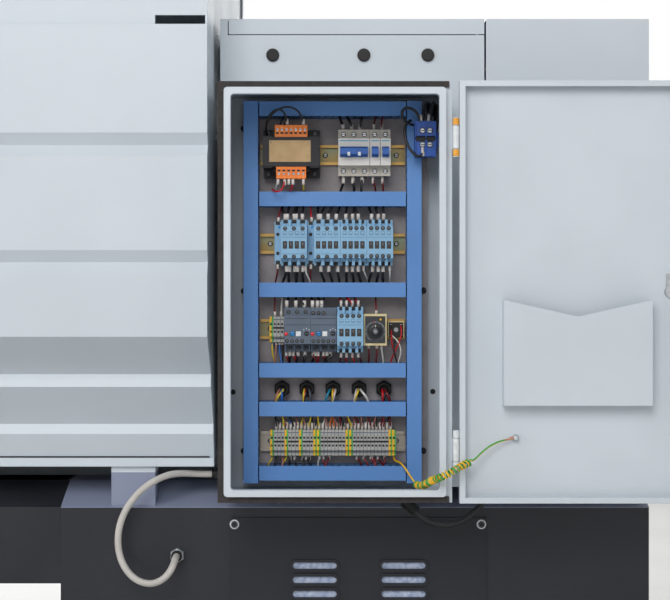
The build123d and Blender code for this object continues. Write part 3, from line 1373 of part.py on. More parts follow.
def overload_relays():
    half = OVERLOAD_HEIGHT / 2
    foot = -half + OVERLOAD_FOOT_HEIGHT
    outline = [
        (0, -half),
        (OVERLOAD_FOOT_DEPTH, -half),
        (OVERLOAD_FOOT_DEPTH, foot),
        (OVERLOAD_DEPTH, foot),
        (OVERLOAD_DEPTH, half - OVERLOAD_FOOT_HEIGHT),
        (OVERLOAD_TOP_DEPTH, half - OVERLOAD_FOOT_HEIGHT),
        (OVERLOAD_TOP_DEPTH, half),
        (0, half),
    ]
    starts = [OVERLOAD_START - number * OVERLOAD_WIDTH for number in range(OVERLOAD_COUNT)]
    return together([rail_device(start, OVERLOAD_WIDTH, outline, "relays") for start in starts])


def dial_place():
    """The timer dial's axis, in X and Z."""
    return (
        CABINET_X + TIMER_START - TIMER_WIDTH / 2,
        plate_row(RAIL_ROW_SHARES["relays"]) - DIAL_DROP,
    )


def timer_relay():
    half = TIMER_HEIGHT / 2
    body = rail_device(TIMER_START, TIMER_WIDTH, [(0, -half), (TIMER_DEPTH, -half), (TIMER_DEPTH, half), (0, half)], "relays")
    front = RAIL_FRONT_Y + TIMER_DEPTH
    hole_y = (front - DIAL_STEM_LENGTH - RUN_CLEAR, front)
    body -= rod("Y", DIAL_STEM_R + RUN_CLEAR, hole_y, dial_place())
    x = (CABINET_X + RECTIFIER_START - RECTIFIER_SIDE, CABINET_X + RECTIFIER_START)
    middle = plate_row(RAIL_ROW_SHARES["relays"])
    rectifier = block(x, (RAIL_FRONT_Y, RAIL_FRONT_Y + RECTIFIER_DEPTH), around(middle, RECTIFIER_SIDE))
    return together([body, rectifier])


def timer_dial():
    front = RAIL_FRONT_Y + TIMER_DEPTH
    face = rod("Y", DIAL_R, (front + RUN_CLEAR, front + RUN_CLEAR + DIAL_LENGTH), dial_place())
    return face + rod("Y", DIAL_STEM_R, (front - DIAL_STEM_LENGTH, front + RUN_CLEAR), dial_place())


def terminal_blocks():
    outline = stepped_outline(TERMINAL_HEIGHT, TERMINAL_STEP_DEPTH, TERMINAL_STEP_HEIGHT, TERMINAL_DEPTH)
    rows = (
        (TERMINAL_START, TERMINAL_COUNT, "terminals"),
        (RELAY_TERMINAL_START, RELAY_TERMINAL_COUNT, "relays"),
    )
    pieces = []
    for start, count, row in rows:
        for number in range(count):
            pieces.append(rail_device(start - number * TERMINAL_WIDTH, TERMINAL_WIDTH, outline, row))
    return together(pieces)


def supply_block():
    """A two-pole block on an arm from the side wall, in front of the upright duct."""
    wall_x = CABINET_X - CABINET_WIDTH / 2 + CABINET_WALL
    x = (wall_x + SUPPLY_WALL_GAP, wall_x + SUPPLY_WALL_GAP + SUPPLY_WIDTH)
    back = PLATE_FRONT_Y + DUCT_DEPTH + DUCT_LID_THICK + SUPPLY_DUCT_GAP
    y = (back, back + SUPPLY_DEPTH)
    body = block(x, y, around(SUPPLY_Z, SUPPLY_HEIGHT))
    body -= block(x, (y[1] - SUPPLY_WAIST_DEPTH, y[1]), around(SUPPLY_Z, SUPPLY_WAIST))
    return body + block((wall_x, x[0]), (y[0], y[0] + SUPPLY_DEPTH / 2), around(SUPPLY_Z, SUPPLY_ARM))


def hex_gland(seat, hex_r, hex_length, dome_r, dome_length):
    """A hexagon body and a round clamping nut along a plane's normal."""
    body = extrude(RegularPolygon(hex_r, 6), hex_length)
    nut = Pos(0, 0, hex_length + dome_length / 2) * Cylinder(dome_r, dome_length)
    return seat.location * (body + nut)


def plate_gland(offset):
    """A bored gland on the mounting plate."""
    place = (CABINET_X + offset, plate_row(GLAND_ROW_SHARE))
    reach = (PLATE_FRONT_Y, PLATE_FRONT_Y + GLAND_HEX_LENGTH + GLAND_DOME_LENGTH)
    seat = Plane(origin=(place[0], PLATE_FRONT_Y, place[1]), z_dir=(0, 1, 0))
    gland = hex_gland(seat, GLAND_HEX_R, GLAND_HEX_LENGTH, GLAND_DOME_R, GLAND_DOME_LENGTH)
    return gland - rod("Y", GLAND_BORE_R, reach, place)


def cord_gland(end, seat_point, outward):
    """A gland that reaches from its seat to the end of a cord."""
    reach = (Vector(*end) - Vector(*seat_point)).length
    seat = Plane(origin=seat_point, z_dir=outward)
    dome_length = reach - CORD_GLAND_HEX_LENGTH
    return hex_gland(seat, CORD_GLAND_HEX_R, CORD_GLAND_HEX_LENGTH, CORD_GLAND_DOME_R, dome_length)


def cable_glands():
    """Glands on the plate, and one at each end of the conduit and of the cable."""
    glands = [plate_gland(offset) for offset in GLAND_OFFSETS]
    start, end = cord_point(CONDUIT_ROUTE[0]), cord_point(CONDUIT_ROUTE[-1])
    glands.append(cord_gland(start, (HEAD_COVER_X[1], *start[1:]), (1, 0, 0)))
    glands.append(cord_gland(end, (end[0], REAR_Y, end[2]), (0, 1, 0)))
    start, end = cord_point(CABLE_ROUTE[0]), cord_point(CABLE_ROUTE[-1])
    glands.append(cord_gland(end, (end[0], COVER_REAR_Y, end[2]), (0, 1, 0)))
    tilt = math.radians(CORD_GLAND_ANGLE)
    outward = Vector(-math.sin(tilt), 0, -math.cos(tilt))
    root = Vector(*start) - outward * CORD_GLAND_BOSS
    boss_z = (root.Z, CABINET_Z[0])
    boss = block(around(root.X, CORD_GLAND_BOSS), around(root.Y, CORD_GLAND_BOSS), boss_z)
    glands.append(boss + cord_gland(start, tuple(root), tuple(outward)))
    return together(glands)


# Cords


def cord_point(point):
    """A point of a cord's route in the machine's frame."""
    return (point[0] + CABINET_X, *point[1:])


def cord_tube(route, radius):
    """A tube along straight runs that are joined by the largest tangent arcs that the runs allow."""
    points = [Vector(*cord_point(point)) for point in route]
    runs = [end - start for start, end in zip(points, points[1:])]
    radii = []
    for before, after in zip(runs, runs[1:]):
        half_turn = math.radians(before.get_angle(after)) / 2
        radii.append(CORD_ARC_SHARE * min(before.length, after.length) / math.tan(half_turn))
    path = FilletPolyline(*points, radius=radii)
    tube = sweep(Plane(origin=path @ 0, z_dir=path % 0) * Circle(radius), path)
    ratio = tube.volume / (math.pi * radius**2 * path.length)
    print(f"cord radius {radius}: length {path.length:.0f}, volume ratio {ratio:.3f}, tightest arc {min(radii):.0f}")
    return tube


def earth_lead():
    """The door's earth wire: a terminal end, a coiled stretch as one fat tube, and a door end."""
    tube = cord_tube(EARTH_COIL_ROUTE, EARTH_COIL_R)
    for route in (EARTH_TERMINAL_ROUTE, EARTH_DOOR_ROUTE):
        tube += cord_tube(route, EARTH_R)
    return tube


def conduit():
    return cord_tube(CONDUIT_ROUTE, CONDUIT_R)


def cabinet_cable():
    return cord_tube(CABLE_ROUTE, CABLE_R)


# Cabinet door


def pocket():
    """A document pocket folded from sheet, with a top edge that dips to its middle."""
    centre = sum(OPEN_DOOR_X) / 2
    x = around(centre, POCKET_WIDTH)
    y = (OPEN_DOOR_BACK_Y + DOOR_SHEET, OPEN_DOOR_BACK_Y + DOOR_SHEET + POCKET_DEPTH)
    outline = [
        (x[0], POCKET_BOTTOM_Z),
        (x[1], POCKET_BOTTOM_Z),
        (x[1], POCKET_SIDE_Z),
        (centre, POCKET_SIDE_Z - POCKET_DIP),
        (x[0], POCKET_SIDE_Z),
    ]
    inside_z = (POCKET_BOTTOM_Z + DOOR_SHEET, POCKET_SIDE_Z)
    shell = prism("Y", outline, y)
    return shell - block(inset(x, DOOR_SHEET), (y[0], y[1] - DOOR_SHEET), inside_z)


def door_hinge(centre):
    """The door's half of a hinge: two bored knuckles on arms from the door's edge."""
    arm_x = (OPEN_DOOR_X[1], HINGE_X)
    arm_y = (HINGE_Y - HINGE_R, HINGE_Y)
    pieces = []
    for z in hinge_end_spans(centre):
        knuckle = rod("Z", HINGE_R, z, (HINGE_X, HINGE_Y)) + block(arm_x, arm_y, z)
        pieces.append(knuckle - rod("Z", HINGE_PIN_R + BEARING_CLEAR, z, (HINGE_X, HINGE_Y)))
    return pieces


def lock_place():
    return (OPEN_DOOR_X[0] + LOCK_INSET, sum(CABINET_Z) / 2)


def cabinet_door():
    y = (OPEN_DOOR_BACK_Y, OPEN_DOOR_FRONT_Y)
    inner_y = (y[0] + DOOR_SHEET, y[1] - DOOR_SHEET)
    tray = block(OPEN_DOOR_X, y, CABINET_Z)
    tray -= block(inset(OPEN_DOOR_X, DOOR_SHEET), inner_y, inset(CABINET_Z, DOOR_SHEET))
    tray -= block(inset(OPEN_DOOR_X, DOOR_RETURN), (inner_y[1], y[1]), inset(CABINET_Z, DOOR_RETURN))
    tray += pocket()
    for centre in HINGE_ROW_Z:
        for knuckle in door_hinge(centre):
            tray += knuckle
    stud = (OPEN_DOOR_X[1] - STUD_INSET, STUD_Z)
    tray += rod("Y", STUD_R, (inner_y[0], inner_y[0] + STUD_LENGTH), stud)
    tray += rod("Y", STUD_NUT_R, (inner_y[0], inner_y[0] + STUD_NUT_THICK), stud)
    return tray - rod("Y", LOCK_R + RUN_CLEAR, (y[0], inner_y[0]), lock_place())


def door_lock():
    place = lock_place()
    skin = (OPEN_DOOR_BACK_Y, OPEN_DOOR_BACK_Y + DOOR_SHEET)
    handle_y = (skin[0] - RUN_CLEAR - LOCK_HANDLE_THICK, skin[0] - RUN_CLEAR)
    cam_y = (skin[1] + RUN_CLEAR, skin[1] + RUN_CLEAR + LOCK_CAM_THICK)
    lock = rod("Y", LOCK_HANDLE_R, handle_y, place) + rod("Y", LOCK_R, (handle_y[0], cam_y[1]), place)
    cam_z = (place[1], place[1] + LOCK_CAM_LENGTH)
    return lock + block(around(place[0], LOCK_CAM_WIDTH), cam_y, cam_z)


NODES = {
    "levelling_pads": levelling_pads,
    "headstock_pedestal": headstock_pedestal,
    "tailstock_pedestal": tailstock_pedestal,
    "chip_pan": chip_pan,
    "rear_access_cover": rear_access_cover,
    "louvre_filter": louvre_filter,
    "bed": bed,
    "headstock": headstock,
    "headstock_cover": headstock_cover,
    "headstock_lid": headstock_lid,
    "cover_plugs": cover_plugs,
    "end_cover": end_cover,
    "spindle_motor": spindle_motor,
    "motor_pulley": motor_pulley,
    "drive_belt": drive_belt,
    "spindle": spindle,
    "chuck_body": chuck_body,
    "chuck_jaw_1": lambda: chuck_jaw(0),
    "chuck_jaw_2": lambda: chuck_jaw(1),
    "chuck_jaw_3": lambda: chuck_jaw(2),
    "saddle": saddle,
    "cross_slide": cross_slide,
    "tool_turret": tool_turret,
    "feed_screw": feed_screw,
    "feed_motor": feed_motor,
    "tailstock": tailstock,
    "tailstock_quill": tailstock_quill,
    "tailstock_handwheel": tailstock_handwheel,
    "rear_guard": rear_guard,
    "guard_hood": guard_hood,
    "tail_end_guard": tail_end_guard,
    "front_apron": front_apron,
    "sliding_door": sliding_door,
    "door_window": door_window,
    "control_box": control_box,
    "emergency_stop": emergency_stop,
    "feed_knob": feed_knob,
    "pulse_handwheel": pulse_handwheel,
    "cabinet_body": cabinet_body,
    "cabinet_gasket": cabinet_gasket,
    "mounting_plate": mounting_plate,
    "wiring_ducts": wiring_ducts,
    "din_rails": din_rails,
    "control_transformer": control_transformer,
    "breakers": breakers,
    "main_breaker_toggle": lambda: breaker_toggle(0),
    "breaker_toggle_1": lambda: breaker_toggle(1),
    "breaker_toggle_2": lambda: breaker_toggle(2),
    "contactors": contactors,
    "overload_relays": overload_relays,
    "timer_relay": timer_relay,
    "timer_dial": timer_dial,
    "terminal_blocks": terminal_blocks,
    "supply_block": supply_block,
    "cable_glands": cable_glands,
    "cabinet_door": cabinet_door,
    "door_lock": door_lock,
    "earth_lead": earth_lead,
    "conduit": conduit,
    "cabinet_cable": cabinet_cable,
}


def main():
    os.makedirs("parts", exist_ok=True)
    for name, make in NODES.items():
        export_step(make(), f"parts/{name}.step")


if __name__ == "__main__":
    main()
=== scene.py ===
"""CNC turning lathe: finishes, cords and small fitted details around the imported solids."""

import math

import bpy
import numpy as np
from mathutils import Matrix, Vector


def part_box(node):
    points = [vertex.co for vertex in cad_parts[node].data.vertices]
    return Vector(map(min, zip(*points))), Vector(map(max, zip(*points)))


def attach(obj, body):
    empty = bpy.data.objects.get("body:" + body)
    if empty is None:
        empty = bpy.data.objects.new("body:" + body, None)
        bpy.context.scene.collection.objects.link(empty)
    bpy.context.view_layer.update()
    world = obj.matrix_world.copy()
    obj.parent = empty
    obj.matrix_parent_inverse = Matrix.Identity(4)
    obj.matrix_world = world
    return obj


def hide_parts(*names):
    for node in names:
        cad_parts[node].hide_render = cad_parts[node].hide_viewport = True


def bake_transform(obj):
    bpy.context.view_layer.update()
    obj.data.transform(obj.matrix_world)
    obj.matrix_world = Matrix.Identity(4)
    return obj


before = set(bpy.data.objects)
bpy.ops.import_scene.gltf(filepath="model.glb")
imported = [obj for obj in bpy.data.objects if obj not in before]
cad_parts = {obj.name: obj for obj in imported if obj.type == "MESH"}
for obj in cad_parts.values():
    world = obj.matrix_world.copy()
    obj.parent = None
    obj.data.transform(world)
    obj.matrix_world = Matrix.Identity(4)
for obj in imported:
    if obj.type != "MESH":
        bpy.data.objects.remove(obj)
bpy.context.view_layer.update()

bl_info = {
    "name": "CNC turning lathe",
    "version": (1, 0, 0),
    "blender": (4, 5, 0),
    "location": "View3D > Sidebar > Lathe",
    "description": "Finishes a turning lathe with its open electrical cabinet",
    "category": "Object",
}

MM = 0.001
PLATE_LOW, PLATE_HIGH = (np.array(corner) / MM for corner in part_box("mounting_plate"))
CABINET_X = (PLATE_LOW[0] + PLATE_HIGH[0]) / 2
PLATE_Y = PLATE_HIGH[1]
RAIL_Y = PLATE_Y + 7.5


def plate_row(share):
    """Height of a row on the mounting plate, in millimetres: low edge + share x height."""
    return PLATE_LOW[2] + share * (PLATE_HIGH[2] - PLATE_LOW[2])


BREAKER_Z, CONTACTOR_Z, RELAY_Z, TERMINAL_Z = (plate_row(s) for s in (0.8645, 0.6287, 0.402, 0.104))
DUCT_ROWS = [plate_row(s) for s in (0.980, 0.744, 0.506, 0.2955, 0.194, 0.0258)]
GLAND_Z = plate_row(0.243)
REAR_SHEET_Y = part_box("rear_access_cover")[1][1] / MM - 3.0
DUCT_HALF = 12.5
SLOT_FIRST, SLOT_PITCH, SLOT_LAST = -108.25, 12.5, 18
EARTH_BLOCKS = (0, 4, 8, 12, 13, 21, 22, 33, 34)
CONTACTORS = ((92.5, 3), (36.0, 3), (-9.0, 4), (-54.0, 4))
CONTACTOR_WIDTH, TERMINAL_PITCH, POLE_WIDTH = 45, 6.2, 18
TRANSFORMER_X, BREAKER_EDGE = 75, -5.5
BREAKER_CLAMP_Y, CONTACTOR_CLAMP_Y, SUPPRESSOR_CLAMP_Y, TERMINAL_CLAMP_Y = (
    RAIL_Y + d for d in (34, 48, 46, 22)
)

# The photograph's width and the lens shift in pixels, and the camera's place in metres
PHOTO_WIDTH, SHIFT_PIXELS = 670, -5
CAMERA_Y, CAMERA_Z = 3.17, 0.89
FLOOR_Z, FLOOR_POINTS = -0.0005, 9
AMBIENT = 0.36
# Soft lamps: place, aim, side and power, in metres and watts
LAMPS = (
    ("key_softbox", (0.3, 4.4, 3.2), (-0.5, 0.4, 0.9), 2.4, 108.0),
    ("side_softbox", (4.0, 2.4, 1.8), (-0.5, 0.4, 0.9), 1.6, 42.0),
    ("fill_softbox", (-3.4, 2.6, 2.2), (-0.5, 0.3, 0.9), 2.4, 6.0),
    ("front_softbox", (0.4, -3.6, 2.8), (0.0, 0.0, 0.9), 2.6, 130.0),
)

# Free cords, in millimetres, with X counted from the cabinet's middle as in the part's source
CONDUIT_ROUTE = [
    (219, 326, 571), (243, 326, 571), (267, 340, 574), (290, 360, 574.5), (314, 374, 566), (337, 382, 551),
    (356, 386, 530), (370, 389, 506), (377, 392, 481), (378, 395, 455), (373, 398, 432), (363, 401, 413),
    (349, 405, 399), (333, 408, 391.5), (316, 410, 390), (300, 410, 396), (288, 407, 407), (281, 400, 420),
    (278.4, 387, 430.8), (278.4, 370, 430.8),
]
CABLE_ROUTE = [
    (-137.4, 450, 521.6), (-151.4, 450, 507.6), (-170, 446, 499), (-192, 441, 496.5), (-215, 434, 501),
    (-236, 426, 513), (-254, 417, 530), (-268, 408, 550), (-278, 397, 570), (-285, 383, 588),
    (-285, 366, 588),
]
EARTH_ROUTE = [
    (-102, 402, 611.9), (-102, 402, 607.5), (-104, 407, 603), (-110, 418, 602), (-116, 429, 598.5),
    (-123, 437, 589), (-131, 441, 577), (-136, 445, 569.8), (-141, 468, 567), (-146.5, 502, 571),
    (-152, 540, 579), (-157, 570, 587), (-163, 585, 591.5), (-172, 594, 596), (-185, 597, 602.5),
    (-198, 594, 609.5), (-208.5, 588, 615), (-217, 580, 617.5), (-227, 575, 622), (-238, 571, 632.6),
    (-251.2, 568, 642.9), (-266.2, 565, 650), (-281.2, 561, 653.5), (-292.4, 559, 655.5),
]
# The earth lead's straight ends and the rise of its winding, in metres, and the coil's turns
EARTH_STRAIGHT, EARTH_RISE, EARTH_TURNS = 0.078, 0.012, 38


def linear(hex_colour):
    """sRGB hex to linear: c / 12.92 up to 0.04045, else ((c + 0.055) / 1.055) to the power 2.4."""
    c = np.array([int(hex_colour[i : i + 2], 16) for i in (1, 3, 5)]) / 255
    return tuple(np.where(c <= 0.04045, c / 12.92, ((c + 0.055) / 1.055) ** 2.4))


def rgba(shade):
    """A full-cover colour from an sRGB hex value or a linear colour."""
    return (*(linear(shade) if isinstance(shade, str) else shade), 1.0)


def colour_property(name, description, hex_colour):
    return bpy.props.FloatVectorProperty(
        name=name, description=description, subtype="COLOR", size=3, min=0.0, max=1.0,
        default=linear(hex_colour),
    )


def length_property(name, description, default):
    return bpy.props.FloatProperty(
        name=name, description=description, default=default, min=0.0, unit="LENGTH"
    )


class LatheColours(bpy.types.PropertyGroup):
    """Colours of the lathe's main finishes."""

    sheet: colour_property("Sheet paint", "Light grey enamel of the covers, guard and cabinet", "#C8D0D7")
    base: colour_property("Base paint", "Charcoal enamel of the base", "#25262C")
    # The shoulder colour is the bluish hammered enamel made lighter: painted light on the sloped shoulder,
    # which the guard shades
    shoulder: colour_property("Shoulder paint", "Hammered enamel of the base's shoulder", "#858CA3")
    duct: colour_property("Duct plastic", "Blue of the wiring ducts", "#5C8DCB")
    contactor: colour_property("Contactor plastic", "Pale blue of the contactors", "#86B2D2")
    relay: colour_property("Relay plastic", "Slate grey of the overload relays", "#556273")
    plate: colour_property("Mounting plate", "Zinc plated sheet in the cabinet", "#989293")
    conduit: colour_property("Conduit", "Warm grey plastic sheath", "#BDB8B3")


class LatheSizes(bpy.types.PropertyGroup):
    """Sizes of the cords and wires."""

    conduit: length_property("Conduit", "Outside diameter of the conduit", 0.012)
    cable: length_property("Cable", "Outside diameter of the black cable", 0.011)
    earth_wire: length_property("Earth wire", "Outside diameter of the earth lead's wire", 0.0034)
    earth_coil: length_property(
        "Earth coil", "Radius of the earth lead's coil at the wire's middle", 0.0052
    )
    power_wire: length_property("Power wire", "Outside diameter of the power wires", 0.0046)
    control_wire: length_property("Control wire", "Outside diameter of the control wires", 0.003)
    floor: length_property("Floor", "Side of the floor", 11.0)


# Shapes, in millimetres


def box_template():
    """Directions n(theta, phi) on an 8 x 4 grid, each quadrant met twice, with the corner s of each one."""
    theta = np.deg2rad((np.arange(4)[:, None] * 90 + np.array([0, 90])).ravel())
    corner = np.deg2rad(np.repeat(np.arange(4) * 90 + 45, 2))
    phi = np.deg2rad([-90, 0, 0, 90])[:, None]
    level = np.array([-1, -1, 1, 1])[:, None] * np.ones(8)
    turn = np.stack(
        [np.cos(phi) * np.cos(theta), np.cos(phi) * np.sin(theta), np.sin(phi) * np.ones(8)], -1
    )
    sign = np.stack(
        [np.sign(np.cos(corner)) * np.ones((4, 1)), np.sign(np.sin(corner)) * np.ones((4, 1)), level], -1
    )
    rows = np.round(np.concatenate([sign, turn], -1).reshape(-1, 6), 6) + 0.0
    unique, number = np.unique(rows, axis=0, return_inverse=True)
    grid = number.reshape(4, 8)
    after = np.roll(grid, -1, axis=1)
    quads = np.stack([grid[:-1], after[:-1], after[1:], grid[1:]], -1).reshape(-1, 4)
    faces = [tuple(dict.fromkeys(quad)) for quad in quads.tolist()]
    faces += [tuple(dict.fromkeys(grid[0][::-1].tolist())), tuple(dict.fromkeys(grid[3].tolist()))]
    flat = np.array([face for face in faces if len(face) == 4])
    ends = np.array([face for face in faces if len(face) == 3])
    return unique[:, :3], unique[:, 3:], flat, ends


BOX_SIGN, BOX_TURN, BOX_QUADS, BOX_ENDS = box_template()


def boxes(centres, sizes, edge=0.4):
    """Chamfered boxes: point = centre + s (half - r) + r n, for the template's corners s and directions n."""
    centres = np.atleast_2d(np.asarray(centres, float))
    sizes = np.broadcast_to(np.asarray(sizes, float), centres.shape)
    r = np.minimum(edge, 0.45 * sizes.min(axis=1))[:, None, None]
    points = centres[:, None] + BOX_SIGN * (sizes[:, None] / 2 - r) + r * BOX_TURN
    step = np.arange(len(centres))[:, None, None] * len(BOX_SIGN)
    return points.reshape(-1, 3), [(BOX_QUADS + step).reshape(-1, 4), (BOX_ENDS + step).reshape(-1, 3)]


def ring_faces(count, rings, sides):
    """Faces of grids of rings: quads between neighbouring rings, and one cap at each end."""
    number = np.arange(count * rings * sides).reshape(count, rings, sides)
    after = np.roll(number, -1, axis=2)
    quads = np.stack([number[:, :-1], after[:, :-1], after[:, 1:], number[:, 1:]], -1).reshape(-1, 4)
    return [quads, np.concatenate([number[:, 0, ::-1], number[:, -1]])]


def turned(profile, centres, axis=(0, 1, 0), sides=12):
    """A profile (radius, reach) turned about an axis: centre + radius (u cos a + v sin a) + reach axis."""
    centres = np.atleast_2d(np.asarray(centres, float))
    axis = np.asarray(axis, float) / np.linalg.norm(axis)
    u = np.cross(axis, np.eye(3)[np.argmin(np.abs(axis))])
    u /= np.linalg.norm(u)
    v = np.cross(axis, u)
    radius, reach = np.asarray(profile, float).T
    angle = np.arange(sides) * 2 * np.pi / sides
    circle = np.cos(angle)[:, None] * u + np.sin(angle)[:, None] * v
    ring = radius[:, None, None] * circle + reach[:, None, None] * axis
    points = centres[:, None, None] + ring
    return points.reshape(-1, 3), ring_faces(len(centres), len(radius), sides)


def carried_frames(lines):
    """Unit tangents t of lines, and normals n carried along them without twist: n loses its part along t."""
    tangent = np.gradient(lines, axis=1)
    tangent /= np.linalg.norm(tangent, axis=2, keepdims=True)
    least = np.eye(3)[np.argmin(np.abs(tangent[:, 0]), axis=1)]
    normal = np.empty_like(tangent)
    carry = least
    for step in range(lines.shape[1]):
        along = tangent[:, step]
        carry = carry - np.sum(carry * along, axis=1, keepdims=True) * along
        carry = carry / np.linalg.norm(carry, axis=1, keepdims=True)
        normal[:, step] = carry
    return tangent, normal, np.cross(tangent, normal)


def tubes(lines, radius, sides=7):
    """A circle carried along lines: line(t) + radius (n cos a + b sin a)."""
    lines = np.asarray(lines, float)
    _, normal, across = carried_frames(lines)
    angle = np.arange(sides) * 2 * np.pi / sides
    circle = np.cos(angle)[:, None] * normal[:, :, None] + np.sin(angle)[:, None] * across[:, :, None]
    points = lines[:, :, None] + radius * circle
    return points.reshape(-1, 3), ring_faces(lines.shape[0], lines.shape[1], sides)


def bent(controls, steps=16):
    """Bent lines: sum over i of C(n, i) t^i (1 - t)^(n - i) control i."""
    controls = np.asarray(controls, float)
    degree = controls.shape[1] - 1
    power = np.arange(degree + 1)
    t = np.linspace(0, 1, steps)[:, None]
    weight = np.array([math.comb(degree, i) for i in power]) * t**power * (1 - t) ** (degree - power)
    return np.einsum("ki,wij->wkj", weight, controls)


def placed(points):
    """Points whose X is counted from the cabinet's middle, in the machine's frame."""
    return np.asarray(points, float) + (CABINET_X, 0, 0)


def spots(x, y, z):
    """Points (x, y, z), where each coordinate is one number or a row of them."""
    return np.stack(np.broadcast_arrays(x, y, z), -1)


def around(x, y, z, dx, dz):
    """Four places round a middle: (x - dx or x + dx, y, z - dz or z + dz)."""
    return np.array([(x + sx * dx, y, z + sz * dz) for sx in (-1, 1) for sz in (-1, 1)])


def blocks(places, sizes, edge, finish_name):
    """Chamfered boxes at places counted from the cabinet's middle, as a part for build."""
    return boxes(placed(places), sizes, edge), finish_name, False


def discs(profile, places, sides, finish_name, smooth=False):
    """Profiles turned about Y at places counted from the cabinet's middle, as a part for build."""
    return turned(profile, placed(places), sides=sides), finish_name, smooth


def build(name, parts, body="machine"):
    """Joins parts, each (shape, finish, smooth), into one mesh that rides on a body."""
    finishes = list(dict.fromkeys(finish for _, finish, _ in parts))
    faces, numbers, smooth, start = [], [], [], 0
    for (points, rows), finish, soft in parts:
        for row in rows:
            faces.extend((row + start).tolist())
            numbers.extend([finishes.index(finish)] * len(row))
            smooth.extend([soft] * len(row))
        start += len(points)
    mesh = bpy.data.meshes.new(name)
    mesh.from_pydata((np.concatenate([part[0][0] for part in parts]) * MM).tolist(), [], faces)
    mesh.polygons.foreach_set("material_index", numbers)
    mesh.polygons.foreach_set("use_smooth", smooth)
    for finish in finishes:
        mesh.materials.append(bpy.data.materials[finish])
    mesh.update()
    made = bpy.data.objects.new(name, mesh)
    bpy.context.collection.objects.link(made)
    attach(made, body)
    return made


def screw_heads(centres, radius, finish, axis=(0, 1, 0), proud=0.9):
    """Slotted cheese heads: a turned disc with a sloped rim, and a dark slot lying in its face."""
    profile = [(radius, -1.0), (radius, proud * 0.6), (radius * 0.8, proud)]
    parts = [(turned(profile, centres, axis, 12), finish, False)]
    slot = np.where(np.abs(axis) > 0.5, 0.3, np.array([1.7 * radius, 1.7 * radius, 0.32 * radius]))
    parts.append(
        (boxes(np.atleast_2d(centres) + np.array(axis) * proud, slot, 0.05), "shadow_black", False)
    )
    return parts


# Finishes


def add(tree, kind, values=(), links=()):
    """Adds a node, sets its options and socket values, and joins its inputs to other nodes' sockets."""
    made = tree.nodes.new(kind)
    for key, value in dict(values).items():
        if isinstance(key, str) and hasattr(made, key):
            setattr(made, key, value)
        else:
            made.inputs[key].default_value = value
    for key, source in dict(links).items():
        tree.links.new(source, made.inputs[key])
    return made


def finish(
    name, shades, roughness, patch=70.0, relief="Noise", grain=1.2, depth=0.02, stretch=(1, 1, 1),
    bands=(), edge=0.0, **values,
):
    """A finish whose shades drift over patch mm, with a relief of grain mm across and depth mm high.

    bands are (axis, low, high, colour) in mm, painted over the shades; edge is the radius of softened edges.
    """
    material = bpy.data.materials.new(name)
    material.use_nodes = True
    tree = material.node_tree
    shader = tree.nodes["Principled BSDF"]
    place = add(tree, "ShaderNodeTexCoord").outputs["Object"]
    drift = add(tree, "ShaderNodeTexNoise", {"Scale": 1 / (patch * MM), "Detail": 4.0}, {"Vector": place})
    ramp = add(tree, "ShaderNodeValToRGB", {}, {"Fac": drift.outputs["Fac"]})
    ramp.color_ramp.elements[0].position = 0.36
    ramp.color_ramp.elements[1].position = 0.64
    for element, shade in zip(ramp.color_ramp.elements, (shades[0], shades[-1])):
        element.color = rgba(shade)
    colour = ramp.outputs["Color"]
    axes = add(tree, "ShaderNodeSeparateXYZ", {}, {"Vector": place})
    for axis, low, high, shade in bands:
        limits = {"operation": "COMPARE", 1: (low + high) / 2 * MM, 2: (high - low) / 2 * MM}
        inside = add(tree, "ShaderNodeMath", limits, {0: axes.outputs[axis]})
        paint = {"data_type": "RGBA", 7: rgba(shade)}
        mixed = add(tree, "ShaderNodeMix", paint, {0: inside.outputs[0], 6: colour})
        colour = mixed.outputs[2]
    tree.links.new(colour, shader.inputs["Base Color"])
    spread = {"From Min": 0.3, "From Max": 0.7, "To Min": roughness - 0.05, "To Max": roughness + 0.06}
    rough = add(tree, "ShaderNodeMapRange", spread, {"Value": drift.outputs["Fac"]})
    tree.links.new(rough.outputs["Result"], shader.inputs["Roughness"])
    turn = add(tree, "ShaderNodeMapping", {"Scale": stretch}, {"Vector": place})
    texture = add(
        tree, "ShaderNodeTex" + relief, {"Scale": 1 / (grain * MM)}, {"Vector": turn.outputs["Vector"]}
    )
    height = texture.outputs["Distance" if relief == "Voronoi" else "Fac"]
    bump = add(tree, "ShaderNodeBump", {"Strength": 0.6, "Distance": depth * MM}, {"Height": height})
    if edge:
        soft = add(tree, "ShaderNodeBevel", {"samples": 4, "Radius": edge * MM})
        tree.links.new(soft.outputs["Normal"], bump.inputs["Normal"])
    tree.links.new(bump.outputs["Normal"], shader.inputs["Normal"])
    for key, value in values.items():
        shader.inputs[key.replace("_", " ")].default_value = value
    return material


def shaded(colour, factor):
    """A linear colour made lighter or darker."""
    return tuple(min(1.0, channel * factor) for channel in colour)


